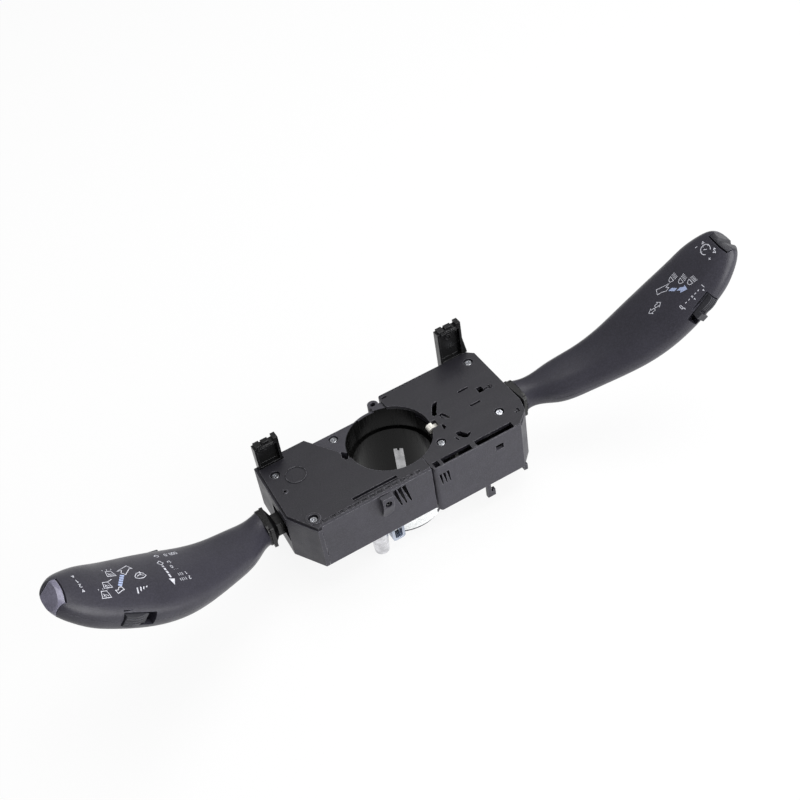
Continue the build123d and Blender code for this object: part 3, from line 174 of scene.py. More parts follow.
# %% [markdown]
# Colours are written as a screen shows them, from 0 to 255, because that is how people read them. Light adds
# up on another scale, where twice the number is twice the light, so each level is converted first.

# %% Colours
def paint(red, green, blue):
    """A colour as screens show it, 0 to 255, turned into the linear one that light uses."""
    def linear(level):
        level = level / 255
        return level / 12.92 if level <= 0.04045 else ((level + 0.055) / 1.055) ** 2.4
    return (linear(red), linear(green), linear(blue), 1.0)


def shade(colour, factor):
    return tuple(level * factor for level in colour[:3]) + (1.0,)


print("middle grey, 128, is", round(paint(128, 128, 128)[0], 3), "of white in light")


# %% [markdown]
# ## One finish at a time
# `Finish` holds a material and builds it up. Distances are in metres, as everywhere in Blender, so a grain of
# a quarter of a millimetre is a noise with a scale of about four thousand.

# %% A material that is built up node by node
CELL_SOFTNESS = 0.6
EDGE_STARTS = 0.02         # how far the rounded direction leans off the flat one where an edge begins
EDGE_FULL = 0.25


class Finish:
    """One material, and the patterns that it is made from."""

    def __init__(self, name):
        self.material = bpy.data.materials.new(name)
        self.material.use_nodes = True
        self.tree = self.material.node_tree
        self.shader = self.tree.nodes["Principled BSDF"]
        self.place = self.node("ShaderNodeTexCoord").outputs["Object"]

    def node(self, kind, settings=None, inputs=None):
        return add_node(self.tree, kind, settings, inputs)

    def vector(self, operation, *terms):
        """Vector maths, which gives a vector, or a Value where the operation gives a number."""
        node = self.node("ShaderNodeVectorMath", {"operation": operation}, dict(enumerate(terms)))
        if operation in ("DOT_PRODUCT", "LENGTH"):
            return Value(self.tree, node.outputs["Value"])
        return node.outputs["Vector"]

    def noise(self, scale, detail=3.0, place=None):
        inputs = {"Vector": place or self.place, "Scale": scale, "Detail": detail}
        return Value(self.tree, self.node("ShaderNodeTexNoise", None, inputs).outputs["Fac"])

    def streaks(self, scale, stretch):
        """Noise that is drawn out along the axes whose stretch is small."""
        return self.noise(scale, 4.0, self.vector("MULTIPLY", self.place, stretch))

    def cells(self, scale):
        """Rounded pits: the distance from the middle of the nearest one."""
        inputs = {"Vector": self.place, "Scale": scale, "Smoothness": CELL_SOFTNESS}
        node = self.node("ShaderNodeTexVoronoi", {"feature": "SMOOTH_F1"}, inputs)
        return Value(self.tree, node.outputs["Distance"])

    def rounded(self, radius):
        """The surface's direction, as it would be with every edge rounded to this radius."""
        return self.node("ShaderNodeBevel", {"samples": 4}, {"Radius": radius}).outputs["Normal"]

    def edges(self, radius):
        """Near 1 where the surface turns within this radius, and 0 on the flat."""
        flat = self.node("ShaderNodeNewGeometry").outputs["Normal"]
        return (1.0 - self.vector("DOT_PRODUCT", self.rounded(radius), flat)).ramp(EDGE_STARTS, EDGE_FULL)

    def blend(self, amount, first, second):
        """Mix two colours, all of the second where the amount is 1."""
        node = self.node("ShaderNodeMix", {"data_type": "RGBA"}, {0: amount, 6: first, 7: second})
        return node.outputs[2]

    def bump(self, height, depth, round_radius):
        """Raise the surface by a height of 0 to 1, at this depth in metres, over slightly rounded edges."""
        inputs = {"Distance": depth, "Height": height, "Normal": self.rounded(round_radius)}
        self.set({"Normal": self.node("ShaderNodeBump", None, inputs).outputs["Normal"]})

    def cover(self, amount, shader):
        """Put another shader over this one, all of it where the amount is 1."""
        mixed = self.node("ShaderNodeMixShader", None, {0: amount, 1: self.shader.outputs[0], 2: shader})
        plug(self.tree, self.tree.nodes["Material Output"].inputs["Surface"], mixed.outputs[0])

    def set(self, inputs):
        for slot, term in inputs.items():
            plug(self.tree, self.shader.inputs[slot], term)
        return self.material


# %% [markdown]
# ## The bore's painted shade
# The bore is smoother than the rest of the case, because the column rubs there, and its colour is painted
# darker as painted shade, because little light gets in. It belongs to the same moulding, so the finish finds
# it by the distance from the bore's axis, which is the frame's own Z axis, and fades to the darker plastic
# just outside its wall.

# %% The bore's painted shade
BORE_EDGE = 0.0228         # everything nearer to the axis than this is bore, in metres
BORE_FADE = 0.0002
DRAW_SCALE = 900.0
DRAWN_DOWN = (1.0, 1.0, 0.05)          # streaks run along Z, the way the mould's core was pulled out


def paint_bore_shade(finish):
    """Cover the bore with a smoother plastic that the mould's core has streaked, its colour painted darker as
    painted shade.
    """
    away = finish.vector("LENGTH", finish.vector("MULTIPLY", finish.place, (1.0, 1.0, 0.0)))
    draw = finish.streaks(DRAW_SCALE, DRAWN_DOWN).ramp(0.4, 0.7)
    # near-black colour: painted shade for the little light that gets into the bore
    painted_shade_lining = finish.node("ShaderNodeBsdfPrincipled", None, {
        "Base Color": finish.blend(draw, paint(5, 5, 5), paint(15, 15, 15)),
        "Roughness": 0.22 + 0.12 * draw,
        "Specular IOR Level": 0.16,
    })
    finish.cover(away.ramp(BORE_EDGE + BORE_FADE, BORE_EDGE), painted_shade_lining.outputs[0])


print("bore up to", BORE_EDGE * METRE, "mm from the axis")


# %% [markdown]
# ## Moulded plastics
# The case, the covers and the stalks are all dark mouldings, yet no two look the same. A spark-eroded mould
# leaves a fine grain, melt flowing in leaves clouds and faint streaks, and handling polishes the edges. The
# edges are also painted paler, partly as wear and partly as painted highlight where they catch the light.

# %% A moulded plastic
WEAR_AND_HIGHLIGHT_REACH = 0.00045      # how far from an edge the plastic is painted paler, as wear and as painted highlight
EDGE_ROUND = 0.00025
FLOW_SCALE = 160.0         # noise scales, in waves to the metre: the larger, the finer
WEAR_AND_HIGHLIGHT_SCALE = 700.0
SPECKLE_SCALE = 1300.0
DUST_SCALE = 1900.0
PITS_PER_GRAIN = 0.45


def moulded(name, colour, worn_and_highlit_colour, gloss, grain, depth, cloud_scale=70.0, stretch=(1.0, 1.0, 1.0),
            flow_and_highlight_share=0.2, bore=False):
    """A plastic from its colour, its worn and highlit edge colour, its roughness, and its grain's scale and
    depth.
    """
    finish = Finish(name)
    cloud = finish.noise(cloud_scale, 5.0).ramp(0.25, 0.75)
    flow_and_highlight_streaks = finish.streaks(FLOW_SCALE, stretch).ramp(0.35, 0.70)
    fine = finish.noise(grain, 2.0)
    pits = finish.cells(grain * PITS_PER_GRAIN)
    dust = finish.noise(DUST_SCALE, 2.0).ramp(0.74, 0.82)
    # painted edge highlight: edges go paler, partly as wear and partly as light caught on the edge
    pale_edge_wear_and_highlight = finish.edges(WEAR_AND_HIGHLIGHT_REACH) * finish.noise(WEAR_AND_HIGHLIGHT_SCALE, 3.0).ramp(0.30, 0.65)
    tone = finish.blend(cloud, shade(colour, 0.88), shade(colour, 1.12))
    # lighter streaks: melt flow marks, and on the glossy cap painted highlight streaks
    tone = finish.blend(flow_and_highlight_streaks * flow_and_highlight_share, tone, shade(colour, 1.3))
    speckle = finish.noise(SPECKLE_SCALE, 3.0).ramp(0.40, 0.65)
    tone = finish.blend(speckle * 0.4, tone, shade(colour, 1.8))
    tone = finish.blend(pale_edge_wear_and_highlight * 0.8, tone, worn_and_highlit_colour)
    tone = finish.blend(dust * 0.35, tone, shade(worn_and_highlit_colour, 1.3))
    rough = gloss + 0.10 * cloud - 0.08 * flow_and_highlight_streaks - 0.10 * pale_edge_wear_and_highlight + 0.10 * dust
    finish.bump(fine * 0.7 + pits * 0.6 + cloud * 0.4, depth, EDGE_ROUND)
    # painted shade: the bore's colour is painted darker
    if bore:
        paint_bore_shade(finish)
    return finish.set({"Base Color": tone, "Roughness": rough, "Specular IOR Level": 0.42})


# %% [markdown]
# ## Metals
# The cover screws and the folded bracket are zinc plated: bright, slightly hazy, with a fine spangle. The
# clamp's screw is blackened. The barrel is turned, so its grain runs round it. One function makes them all,
# because each is a haze under fine lines, with the edges polished.

# %% A plated or turned metal
METAL_EDGE = 0.0003
METAL_ROUND = 0.00015
METAL_DEPTH = 0.00003
HAZE_SCALE = 240.0


def metal(name, colour, gloss, grain, stretch=(1.0, 1.0, 1.0)):
    """A metal from its colour, its roughness, its grain's scale and how the grain is drawn out."""
    finish = Finish(name)
    haze = finish.noise(HAZE_SCALE, 5.0)
    lines = finish.streaks(grain, stretch)
    edge = finish.edges(METAL_EDGE)
    tone = finish.blend(haze.ramp(0.35, 0.70), shade(colour, 0.66), colour)
    tone = finish.blend(lines.ramp(0.45, 0.75) * 0.4, tone, shade(colour, 0.55))
    tone = finish.blend(edge * 0.6, tone, paint(236, 238, 240))
    rough = gloss + 0.22 * haze.ramp(0.4, 0.8) - 0.08 * edge
    finish.bump(lines, METAL_DEPTH, METAL_ROUND)
    return finish.set({"Base Color": tone, "Roughness": rough, "Metallic": 0.92})


# %% [markdown]
# ## Which finish goes where
# The imported model gives every piece a material slot that says what it is made of. So each finish takes the
# name of its slot, and one loop over the slots swaps them in.

# %% The finishes of the whole part
# paler colour for edges, partly wear and partly painted highlight
WORN_AND_HIGHLIT = paint(150, 149, 157)
ACROSS_COVER = (0.2, 1.0, 1.0)         # streaks run along X
ALONG_CAP = (0.15, 1.0, 0.4)
ROUND_BARREL = (0.05, 0.05, 1.0)
ALONG_SPRING = (1.0, 1.0, 0.05)


def kind_of(material):
    """A material's own name, without the number that Blender adds where the name is taken."""
    return material.name.split(".")[0]


finishes = {kind_of(finish): finish for finish in (
    # the case's bore is painted darker as painted shade
    moulded("case_plastic", paint(50, 49, 56), WORN_AND_HIGHLIT, 0.44, 3000.0, 0.00006, bore=True),
    moulded("cover_plastic", paint(31, 30, 36), WORN_AND_HIGHLIT, 0.42, 3000.0, 0.00006, stretch=ACROSS_COVER),
    moulded("black_plastic", paint(13, 13, 14), paint(88, 88, 92), 0.27, 1500.0, 0.00005),
    moulded("stalk_plastic", paint(47, 46, 54), paint(84, 84, 96), 0.33, 4600.0, 0.00004, cloud_scale=40.0),
    moulded("control_plastic", paint(44, 44, 49), paint(84, 84, 94), 0.37, 4600.0, 0.00003),
    # the cap's lighter streaks at full share are painted highlight, standing in for the sheen of glossy
    # plastic
    moulded("grey_cap_plastic", paint(112, 110, 126), paint(206, 206, 220), 0.16, 500.0, 0.00012,
            stretch=ALONG_CAP, flow_and_highlight_share=1.0),
    moulded("white_plastic", paint(222, 224, 224), paint(242, 242, 240), 0.34, 2400.0, 0.00003),
    moulded("finger_plastic", paint(214, 212, 205), paint(242, 240, 234), 0.26, 2400.0, 0.00002),
    moulded("board_laminate", paint(52, 84, 52), paint(150, 160, 120), 0.40, 3000.0, 0.00002),
    metal("zinc_screw", paint(226, 228, 234), 0.09, 900.0),
    metal("black_steel", paint(40, 40, 42), 0.34, 900.0),
    metal("zinc_sheet", paint(198, 206, 222), 0.20, 700.0),
    metal("barrel_metal", paint(240, 240, 244), 0.26, 900.0, ROUND_BARREL),
    metal("spring_steel", paint(196, 196, 198), 0.22, 900.0, ALONG_SPRING),
    metal("contact_metal", paint(208, 200, 182), 0.24, 900.0),
)}
for name, node in nodes.items():
    for slot in node.material_slots:
        if kind_of(slot.material) in finishes:
            slot.material = finishes[kind_of(slot.material)]
        else:
            print("no finish for", name, slot.material.name)
print(len(finishes), "finishes:", ", ".join(finishes))


# %% [markdown]
# ## Printed marks
# The stalks carry pad-printed marks that say what each movement does. Ink is a few hundredths of a millimetre
# thick and follows the curved shell. So each mark is drawn flat in millimetres, along and across the stalk,
# cut into small pieces and dropped on the shell. That keeps its outline crisp from any distance, unlike a
# pattern in a material. Two ways of laying ink cover every mark: a filled outline, and a line of even width
# with mitred corners.

# %% Small helpers for meshes
INK_STEP = 0.7             # the marks follow the shell in steps of this many millimetres
CUT_PASSES = 5


def place(name, data, matrix=None):
    """A new object in the scene, with its data and where it stands."""
    thing = bpy.data.objects.new(name, data)
    bpy.context.scene.collection.objects.link(thing)
    if matrix:
        thing.matrix_world = matrix
    return thing


def cut_small(flat):
    """Cut flat faces into triangles whose edges are no longer than a step, or close to it."""
    bmesh.ops.triangulate(flat, faces=flat.faces[:])
    for _ in range(CUT_PASSES):
        long_edges = [edge for edge in flat.edges if edge.calc_length() > INK_STEP]
        if not long_edges:
            break
        bmesh.ops.subdivide_edges(flat, edges=long_edges, cuts=1)
        bmesh.ops.triangulate(flat, faces=flat.faces[:])


# %% Laying ink
INK_THICK = 0.03
INK_WIDTH = 0.3
TURN_BACK = 0.2            # a corner sharper than this is cut off square, without a mitre
MITRE_LIMIT = 0.45         # and no mitre reaches further than the line's half width over this
ARC_STEPS = 16


class Ink:
    """Marks that are collected flat, then dropped on the shell as one thin piece."""

    def __init__(self, plane):
        self.plane = plane
        self.flat = bmesh.new()

    def fill(self, outline):
        corners = [self.flat.verts.new((u, v, 0.0)) for u, v in outline]
        self.flat.faces.new(corners)

    def line(self, points, width=INK_WIDTH, closed=False):
        path = [Vector(point) for point in points]
        count = len(path)
        left = []
        right = []
        for i, point in enumerate(path):
            before = path[i - 1] if closed or i else point
            after = path[(i + 1) % count] if closed or i + 1 < count else point
            first = (point - before).normalized() if point != before else (after - point).normalized()
            second = (after - point).normalized() if after != point else first
            mitre = (first + second).normalized() if (first + second).length > TURN_BACK else second
            reach = width / 2 / max(MITRE_LIMIT, mitre.dot(second))
            side = Vector((-mitre.y, mitre.x)) * reach
            left.append(self.flat.verts.new((*(point + side), 0.0)))
            right.append(self.flat.verts.new((*(point - side), 0.0)))
        for i in range(count if closed else count - 1):
            j = (i + 1) % count
            self.flat.faces.new((left[i], left[j], right[j], right[i]))

    def arc(self, u, v, radius, start, stop, width=INK_WIDTH, squash=1.0):
        angles = [math.radians(start + (stop - start) * i / ARC_STEPS) for i in range(ARC_STEPS + 1)]
        bow = [(u + radius * math.cos(angle), v + squash * radius * math.sin(angle)) for angle in angles]
        self.line(bow, width)

    def lay(self, name, body, finish):
        """Cut the marks small, drop them on the shell and give the ink its thickness."""
        cut_small(self.flat)
        missed = []
        for corner in self.flat.verts:
            spot = self.plane.drop(corner.co.x, corner.co.y)
            if spot:
                corner.co = spot
            else:
                missed.append(corner)
        bmesh.ops.delete(self.flat, geom=missed, context="VERTS")
        bmesh.ops.recalc_face_normals(self.flat, faces=self.flat.faces[:])
        mesh = bpy.data.meshes.new(name)
        self.flat.to_mesh(mesh)
        mesh.materials.append(finish)
        marks = place(name, mesh)
        thickness = marks.modifiers.new("thickness", "SOLIDIFY")
        thickness.thickness = INK_THICK / METRE
        thickness.offset = 0.0
        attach(marks, body)
        print(name, len(mesh.polygons), "faces,", len(missed), "corners beside the shell")


# %% The two inks
INK_DEPTH = 0.00002
INK_ROUND = 0.00003
COVER_SCALE = 900.0
INK_GRAIN = 5200.0


def ink(name, colour):
    """Pad-printing ink: slightly uneven cover, thinner and duller where fingers pass."""
    finish = Finish(name)
    cover = finish.noise(COVER_SCALE, 4.0).ramp(0.30, 0.60)
    finish.bump(finish.noise(INK_GRAIN, 2.0), INK_DEPTH, INK_ROUND)
    return finish.set({
        "Base Color": finish.blend(cover, shade(colour, 0.72), colour),
        "Roughness": 0.62 - 0.15 * cover,
    })


grey_ink = ink("grey_ink", paint(216, 217, 226))
blue_ink = ink("blue_ink", paint(170, 184, 220))
print("inks:", grey_ink.name, "and", blue_ink.name)


# %% [markdown]
# Digits and signs are a few strokes each, on a grid that is one wide and 1.6 high. They are drawn as lines
# instead of taken from a font, since a stroke font needs no outlines and keeps one width of line.

# %% Arrows, digits and signs
GLYPH_HEIGHT = 1.6
GLYPHS = {
    "0": [[(0.2, 0.0), (0.8, 0.0), (1.0, 0.3), (1.0, 1.3), (0.8, 1.6), (0.2, 1.6), (0.0, 1.3), (0.0, 0.3),
           (0.2, 0.0)]],
    "1": [[(0.1, 1.2), (0.55, 1.6), (0.55, 0.0)]],
    "2": [[(0.0, 1.3), (0.3, 1.6), (0.75, 1.6), (1.0, 1.25), (0.9, 0.9), (0.0, 0.0), (1.0, 0.0)]],
    "+": [[(0.5, 0.3), (0.5, 1.3)], [(0.0, 0.8), (1.0, 0.8)]],
    "-": [[(0.0, 0.8), (1.0, 0.8)]],
    "x": [[(0.1, 0.4), (0.9, 1.2)], [(0.1, 1.2), (0.9, 0.4)]],
    "^": [[(0.0, 0.4), (0.5, 1.3), (1.0, 0.4), (0.0, 0.4)]],
    "v": [[(0.0, 1.2), (0.5, 0.3), (1.0, 1.2), (0.0, 1.2)]],
    "|": [[(0.5, 0.0), (0.5, 1.6)]],
    ".": [[(0.4, 0.0), (0.6, 0.0)]],
}


def arrow(ink_set, tail, tip, width, line_width=INK_WIDTH):
    """A short outlined arrow."""
    tail = Vector(tail)
    tip = Vector(tip)
    ahead = (tip - tail).normalized()
    side = Vector((-ahead.y, ahead.x))
    neck = tip - ahead * width * 0.62
    shaft = side * width * 0.24
    barb = side * width * 0.5
    outline = [tail + shaft, neck + shaft, neck + barb, tip, neck - barb, neck - shaft, tail - shaft]
    ink_set.line(outline, line_width, True)


def sign(ink_set, character, at, right, height=2.0, width=INK_WIDTH):
    """One digit or sign round a point. Right is the reading direction in the drawing."""
    at = Vector(at)
    right = Vector(right).normalized()
    up = Vector((-right.y, right.x)) * ink_set.plane.hand
    size = height / GLYPH_HEIGHT
    for stroke in GLYPHS[character]:
        points = [at + (right * (x - 0.5) + up * (y - GLYPH_HEIGHT / 2)) * size for x, y in stroke]
        ink_set.line(points, width)


def signs(ink_set, text, start, right, height=1.6, width=0.26, pitch=1.35):
    """A row of digits and signs that begins at a point."""
    start = Vector(start)
    step = Vector(right).normalized() * height / GLYPH_HEIGHT * pitch
    for i, character in enumerate(text):
        if character != " ":
            sign(ink_set, character, start + step * i, right, height, width)


print(len(GLYPHS), "digits and signs:", " ".join(GLYPHS))


# %% [markdown]
# ## The turn stalk
# The turn stalk shows lamps for dipped and main beam with the arrows that switch them, two arrows for the
# indicators, and a dial for cruise control. The words of the real switch are left off. Numbers, plus and
# minus signs and the usual pictograms say the same in any language.

# %% The turn stalk's pictograms
BEAM_LINES = 5
BEAM_PITCH = 0.75
BOWL = [(0.7, -1.5), (0.7, 1.5), (-0.1, 1.35), (-1.1, 0.8), (-1.45, 0.0), (-1.1, -0.8), (-0.1, -1.35)]


def lamp(ink_set, u, v, slant):
    """Headlamp: a reflector bowl with its beam of short lines toward the tip."""
    ink_set.line([(u + x, v + y) for x, y in BOWL], 0.32, True)
    for i in range(BEAM_LINES):
        y = v - 1.5 + BEAM_PITCH * i
        ink_set.line([(u + 1.4, y), (u + 3.6, y + slant)], 0.26)


def dial(ink_set, u, v):
    """Speed dial: an open ring with a needle, three ticks and an arrowhead beside it."""
    ink_set.arc(u, v, 2.75, -50, 235, 0.42)
    ink_set.line([(u - 0.8, v + 0.7), (u + 0.6, v - 0.6)], 0.45)
    for angle in (20, 90, 160):
        ray = Vector((math.cos(math.radians(angle)), math.sin(math.radians(angle))))
        middle = Vector((u, v))
        ink_set.line([middle + ray * 1.9, middle + ray * 2.5], 0.25)
    ink_set.fill([(u + 3.9, v - 2.8), (u + 4.1, v - 4.1), (u + 2.6, v - 3.4)])


# %% The turn stalk's marks
TURN_READ = (-1.0, 0.0)    # which way the numbers run in the drawing
LAMPS = [(-27.9, 3.3, 0.0), (-24.5, -1.7, 0.5), (-21.3, -6.0, -0.5)]   # the last number slants the beam
BENT_ARROW = [(-37.2, 5.5), (-38.3, 2.6), (-36.1, 2.1), (-33.6, 0.5), (-31.3, 0.8), (-32.4, 2.2),
              (-29.9, 2.4), (-33.0, 3.6)]

marks = Ink(turn_plane)
for u, v, slant in LAMPS:
    lamp(marks, u, v, slant)
marks.line(BENT_ARROW, 0.32, True)
arrow(marks, (-43.9, -2.5), (-47.6, -1.8), 3.0)
arrow(marks, (-43.0, -1.6), (-39.3, -2.1), 3.0)
dial(marks, -4.8, 0.8)
signs(marks, "v -", (-3.6, 5.0), (-1.0, 0.24), 2.2, 0.34, 1.5)
signs(marks, "^ +", (-2.2, -4.0), (-1.0, -0.2), 2.2, 0.34, 1.5)
for u in (-19.3, -25.5, -32.5):
    marks.fill([(u - 0.45, -13.0), (u + 0.45, -13.0), (u, -13.9)])
signs(marks, "|  - - x - -  0", (-18.0, -11.9), TURN_READ, 1.6, 0.28, 1.08)
marks.lay("turn_marks", "turn_stalk", grey_ink)

BLUE_SHAFT = [(-32.6, -0.5), (-30.2, -0.6), (-28.2, -3.1), (-30.3, -3.2)]
BLUE_HEAD = [(-29.3, -3.9), (-26.8, -4.0), (-25.3, -5.4), (-24.3, -4.8), (-24.6, -7.7), (-28.6, -6.3),
             (-27.6, -5.6)]
blue = Ink(turn_plane)
blue.fill(BLUE_SHAFT)
blue.fill(BLUE_HEAD)
blue.lay("turn_blue_marks", "turn_stalk", blue_ink)


# %% [markdown]
# ## The wiper stalk
# The wiper stalk has more to say: sweep levels, washing the front screen, the rear wiper and the trip
# counter.

# %% The wiper stalk's pictograms
def rear_window(ink_set, u, v, size, drops):
    """Rear window with its wiper: a trapezium, an arc, a blade and short strokes of water above."""
    half = size / 2
    sill = v - 0.62 * half
    top = v + 0.8 * half
    outline = [(u - half, sill), (u - 0.62 * half, top), (u + 0.62 * half, top), (u + half, sill)]
    ink_set.line(outline, INK_WIDTH, True)
    ink_set.arc(u, sill, 0.62 * half, 25, 155, 0.25)
    ink_set.line([(u, sill), (u + 0.45 * half, v + 0.3 * half)], 0.25)
    for i in range(drops):
        ink_set.line([(u - half + i * half, v + 1.1 * half), (u - half + i * half, v + 1.4 * half)])


def front_screen(ink_set, u, v):
    """Front screen with its wiper: a long outline with eight corners, the sweep and the blade."""
    outline = [(1.9, 0.0), (-0.1, 1.8), (-2.0, 2.3), (-3.8, 1.4), (-4.4, -0.3), (-2.3, -1.4), (0.0, -1.7),
               (1.8, -1.0)]
    sweep = [(0.7, -0.1), (-1.5, 0.9), (-3.1, 0.0)]
    blade = [(-2.6, 2.9), (-1.6, 0.3)]
    for points, width, closed in ((outline, 0.36, True), (sweep, 0.28, False), (blade, 0.34, False)):
        ink_set.line([(u + x, v + y) for x, y in points], width, closed)


# %% The wiper stalk's marks
WIPER_READ = (1.0, -0.04)
UPPER_ARROW = [(-38.9, 7.0), (-40.6, 4.7), (-39.0, 4.7), (-34.6, 1.1), (-33.0, 2.7), (-34.4, 4.2),
               (-31.6, 4.0)]
LOWER_ARROW = [(-27.9, -5.7), (-28.5, -7.4), (-27.3, -7.6), (-24.4, -8.9), (-23.8, -7.2), (-25.2, -7.2),
               (-26.4, -5.8)]
SPEED_BARS = [(-35.1, -7.4, -10.4, 0.75), (-37.2, -7.3, -9.4, 0.6), (-39.0, -7.3, -8.7, 0.5),
              (-40.9, -7.3, -7.9, 0.5)]
DIAMOND = [(-57.8, 7.0), (-59.1, 5.2), (-57.2, 3.9), (-56.0, 5.8)]
DASHES = [((-57.3, 3.4), (-57.3, 2.4)), ((-57.2, 1.7), (-57.1, 0.2)), ((-57.0, -0.4), (-56.9, -2.0)),
          ((-56.8, -2.6), (-56.7, -4.6))]
LEVELS = [("1x", -63.0, 5.5), ("0", -61.6, 1.9), ("...", -63.9, -0.9), ("1 |||", -66.3, -3.5),
          ("2 ||||", -66.7, -6.5)]

marks = Ink(wiper_plane)
for character, v in (("^", 4.2), ("1", 1.0), ("2", -2.0), ("v", -4.9)):
    sign(marks, character, (-7.8, v), WIPER_READ, 1.8)
for u, v, size, drops in ((-27.0, 2.8, 4.8, 3), (-20.9, -3.9, 4.6, 0), (-17.6, -8.7, 4.8, 3)):
    rear_window(marks, u, v, size, drops)
marks.line([(-22.6, -1.9), (-25.6, -0.6)])
marks.line(UPPER_ARROW, 0.34, True)
marks.line(LOWER_ARROW, 0.34, True)
front_screen(marks, -40.3, -0.9)
for u, high, low, width in SPEED_BARS:
    marks.line([(u - 0.5, high), (u + 0.4, low)], width)
marks.line(DIAMOND, INK_WIDTH, True)
for start, stop in DASHES:
    marks.line([start, stop], 1.0)
marks.fill([(-55.1, -5.2), (-58.3, -5.8), (-56.3, -9.0)])
for text, u, v in LEVELS:
    signs(marks, text, (u, v), WIPER_READ, 1.6, 0.27, 1.1)
signs(marks, "000.0", (-70.6, 11.0), WIPER_READ, 1.7, 0.27, 1.45)
marks.arc(-59.5, 11.0, 1.0, 20, 320, 0.28, 0.9)
marks.fill([(-58.0, 11.4), (-59.2, 11.8), (-58.5, 10.5)])
marks.lay("wiper_marks", "wiper_stalk", grey_ink)

# %% The blue stripes between the arrows
STRIPE_START = (-32.6, 1.0)
STRIPE_STEP = (1.12, -1.34)
STRIPES = 5

blue = Ink(wiper_plane)
for i in range(STRIPES):
    u = STRIPE_START[0] + STRIPE_STEP[0] * i
    v = STRIPE_START[1] + STRIPE_STEP[1] * i
    blue.fill([(u + 1.0, v + 0.5), (u - 1.0, v - 0.1), (u - 0.2, v - 1.1), (u + 1.7, v - 0.5)])
blue.lay("wiper_blue_marks", "wiper_stalk", blue_ink)


# %% [markdown]
# ## Traces of the mould
# An ejector pin pushed the wiper cover out of its mould and left a faint ring. A thin ring of real geometry
# catches the light as the true one does. Known fault: the height is taken from the top of the cover's box,
# and that is the top of its screw bosses. So the ring floats half a millimetre over the flat face that it
# should lie on.

# %% The ejector ring
RING_AT = (-0.0510, 0.0064)
RING_RADIUS = 0.0054
RING_WIDTH = 0.0002
RING_HEIGHT = 0.000025
RING_SUNK = 0.00001        # below the top of the cover's box, in metres
RING_STEPS = 72


def ring(name, at, finish, body):
    """A low round ridge: four circles, with a skin of faces from each to the next and back to the first."""
    mesh = bpy.data.meshes.new(name)
    shape = bmesh.new()
    middle = Vector(at)
    angles = [math.tau * i / RING_STEPS for i in range(RING_STEPS)]
    half = RING_WIDTH / 2
    rows = []
    for out, up in ((-RING_WIDTH, 0.0), (-half, RING_HEIGHT), (half, RING_HEIGHT), (RING_WIDTH, 0.0)):
        reach = RING_RADIUS + out
        circle = [Vector((reach * math.cos(angle), reach * math.sin(angle), up)) for angle in angles]
        rows.append([shape.verts.new(middle + spot) for spot in circle])
    for low, high in zip(rows, rows[1:] + rows[:1]):
        for i in range(RING_STEPS):
            j = (i + 1) % RING_STEPS
            shape.faces.new((low[i], low[j], high[j], high[i]))
    bmesh.ops.recalc_face_normals(shape, faces=shape.faces[:])
    shape.to_mesh(mesh)
    mesh.materials.append(finish)
    piece = place(name, mesh)
    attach(piece, body)
    print(name, len(mesh.polygons), "faces")


boss_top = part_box("wiper_unit_cover")[1][2]
ring("ejector_ring", (*RING_AT, boss_top - RING_SUNK), finishes["cover_plastic"], "housing")
print("ring at", round(boss_top * METRE, 2), "mm, the height of the screw bosses")


# %% [markdown]
# ## The floor, the light and the camera
# The part lies on white paper under soft studio light. The paper shows as white to the camera and in
# reflections, and keeps a share of the shadow.

# %% White paper
FLOOR_Z = size_at_load[0][2]
FLOOR_HALF = 6.0
PAPER_WHITE = 0.88         # share of the paper that shows plain white instead of light and shadow
WHITE = (1.0, 1.0, 1.0, 1.0)

paper_mesh = bpy.data.meshes.new("floor")
paper_corners = [(x * FLOOR_HALF, y * FLOOR_HALF, FLOOR_Z) for x, y in ((-1, -1), (1, -1), (1, 1), (-1, 1))]
paper_mesh.from_pydata(paper_corners, [], [(0, 1, 2, 3)])
floor = place("floor", paper_mesh)

paper = Finish("floor_paper")
paper.bump(paper.noise(400.0, 4.0), 0.00005, 0.0001)
paper.set({
    "Base Color": paper.blend(paper.noise(30.0), paint(246, 246, 246), paint(250, 250, 250)),
    "Roughness": 0.85,
})
ray = paper.node("ShaderNodeLightPath").outputs
seen = Value(paper.tree, ray["Is Camera Ray"])
seen = seen.larger(ray["Is Glossy Ray"]).larger(ray["Is Transmission Ray"])
glow = paper.node("ShaderNodeEmission", None, {"Color": WHITE, "Strength": 1.0})
paper.cover(seen * PAPER_WHITE, glow.outputs[0])
paper_mesh.materials.append(paper.material)
print("paper at", round(FLOOR_Z * METRE, 1), "mm")


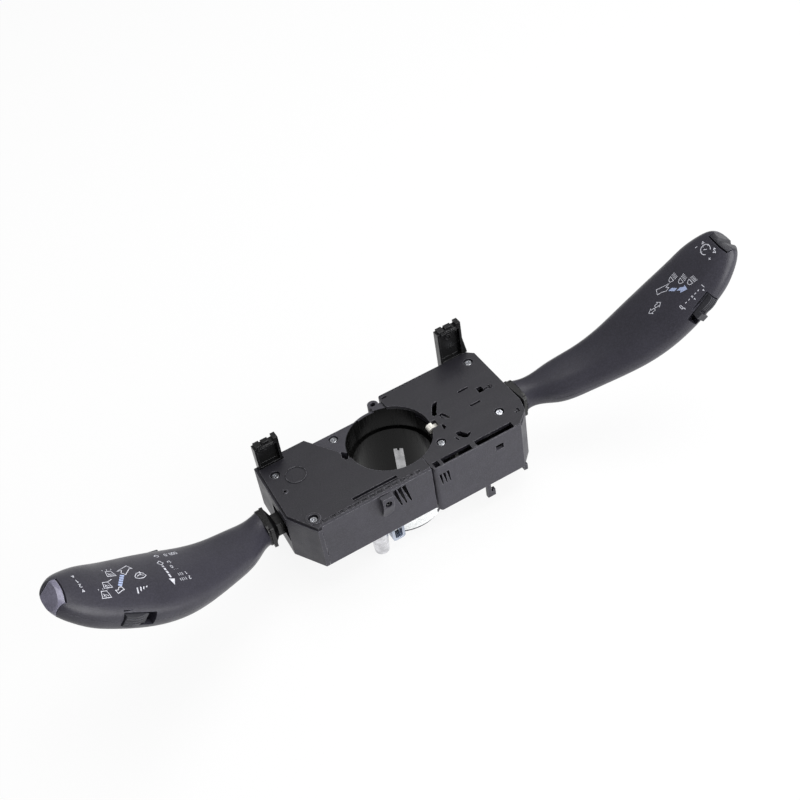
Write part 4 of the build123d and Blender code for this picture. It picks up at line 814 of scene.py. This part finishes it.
# %% [markdown]
# The camera looks down from in front of the wiper stalk, turned and leaning a little, so that the stalks lie
# along a diagonal. Its lens is fairly long, which keeps the near end from looking much larger than the far
# one.

# %% The camera
EYE = Vector((-0.18837, -0.46059, 0.51349))
CAMERA_TILT = 45.085       # from straight down, in degrees
CAMERA_LEAN = 7.217
CAMERA_HEADING = -30.396
FOCAL_LENGTH = 63.0
SENSOR_WIDTH = 36.0

camera_data = bpy.data.cameras.new("camera")
camera_data.lens = FOCAL_LENGTH
camera_data.sensor_width = SENSOR_WIDTH
camera_data.clip_start = 0.01
turn = Euler([math.radians(angle) for angle in (CAMERA_TILT, CAMERA_LEAN, CAMERA_HEADING)], "XYZ")
camera = place("camera", camera_data, Matrix.Translation(EYE) @ turn.to_matrix().to_4x4())
bpy.context.scene.camera = camera
print("camera", round(EYE.length * METRE), "mm from the bore")


# %% [markdown]
# Both lights stand on the right, one high overhead and one lower at the front, and both are large, so that
# shadows stay soft. The front walls are the brightest, the wiper stalk's face comes next, and the turn
# stalk's face, which leans away, stays dark. A dim white world fills the shadows, and shows as plain white
# behind everything.

# %% Lights and the world
WORLD_LEVEL = 0.3


def softbox(name, at, size, power):
    """A large rectangle of light that faces the bore."""
    data = bpy.data.lights.new(name, "AREA")
    data.shape = "RECTANGLE"
    data.size, data.size_y = size
    data.energy = power
    aim = (-Vector(at)).to_track_quat("-Z", "Y").to_matrix().to_4x4()
    place(name, data, Matrix.Translation(at) @ aim)
    print(name, power, "W")


softbox("high_right", (0.30, 0.10, 1.0), (1.1, 0.9), 8.5)
softbox("front_right", (0.6, -1.0, 0.4), (1.4, 1.1), 18.0)

world = bpy.data.worlds.new("studio")
bpy.context.scene.world = world
world.use_nodes = True
air = world.node_tree
sky = air.nodes["Background"].inputs
seen = Value(air, add_node(air, "ShaderNodeLightPath").outputs["Is Camera Ray"])
plug(air, sky["Color"], WHITE)
plug(air, sky["Strength"], seen * (1.0 - WORLD_LEVEL) + WORLD_LEVEL)
bpy.context.scene.view_settings.view_transform = "Standard"
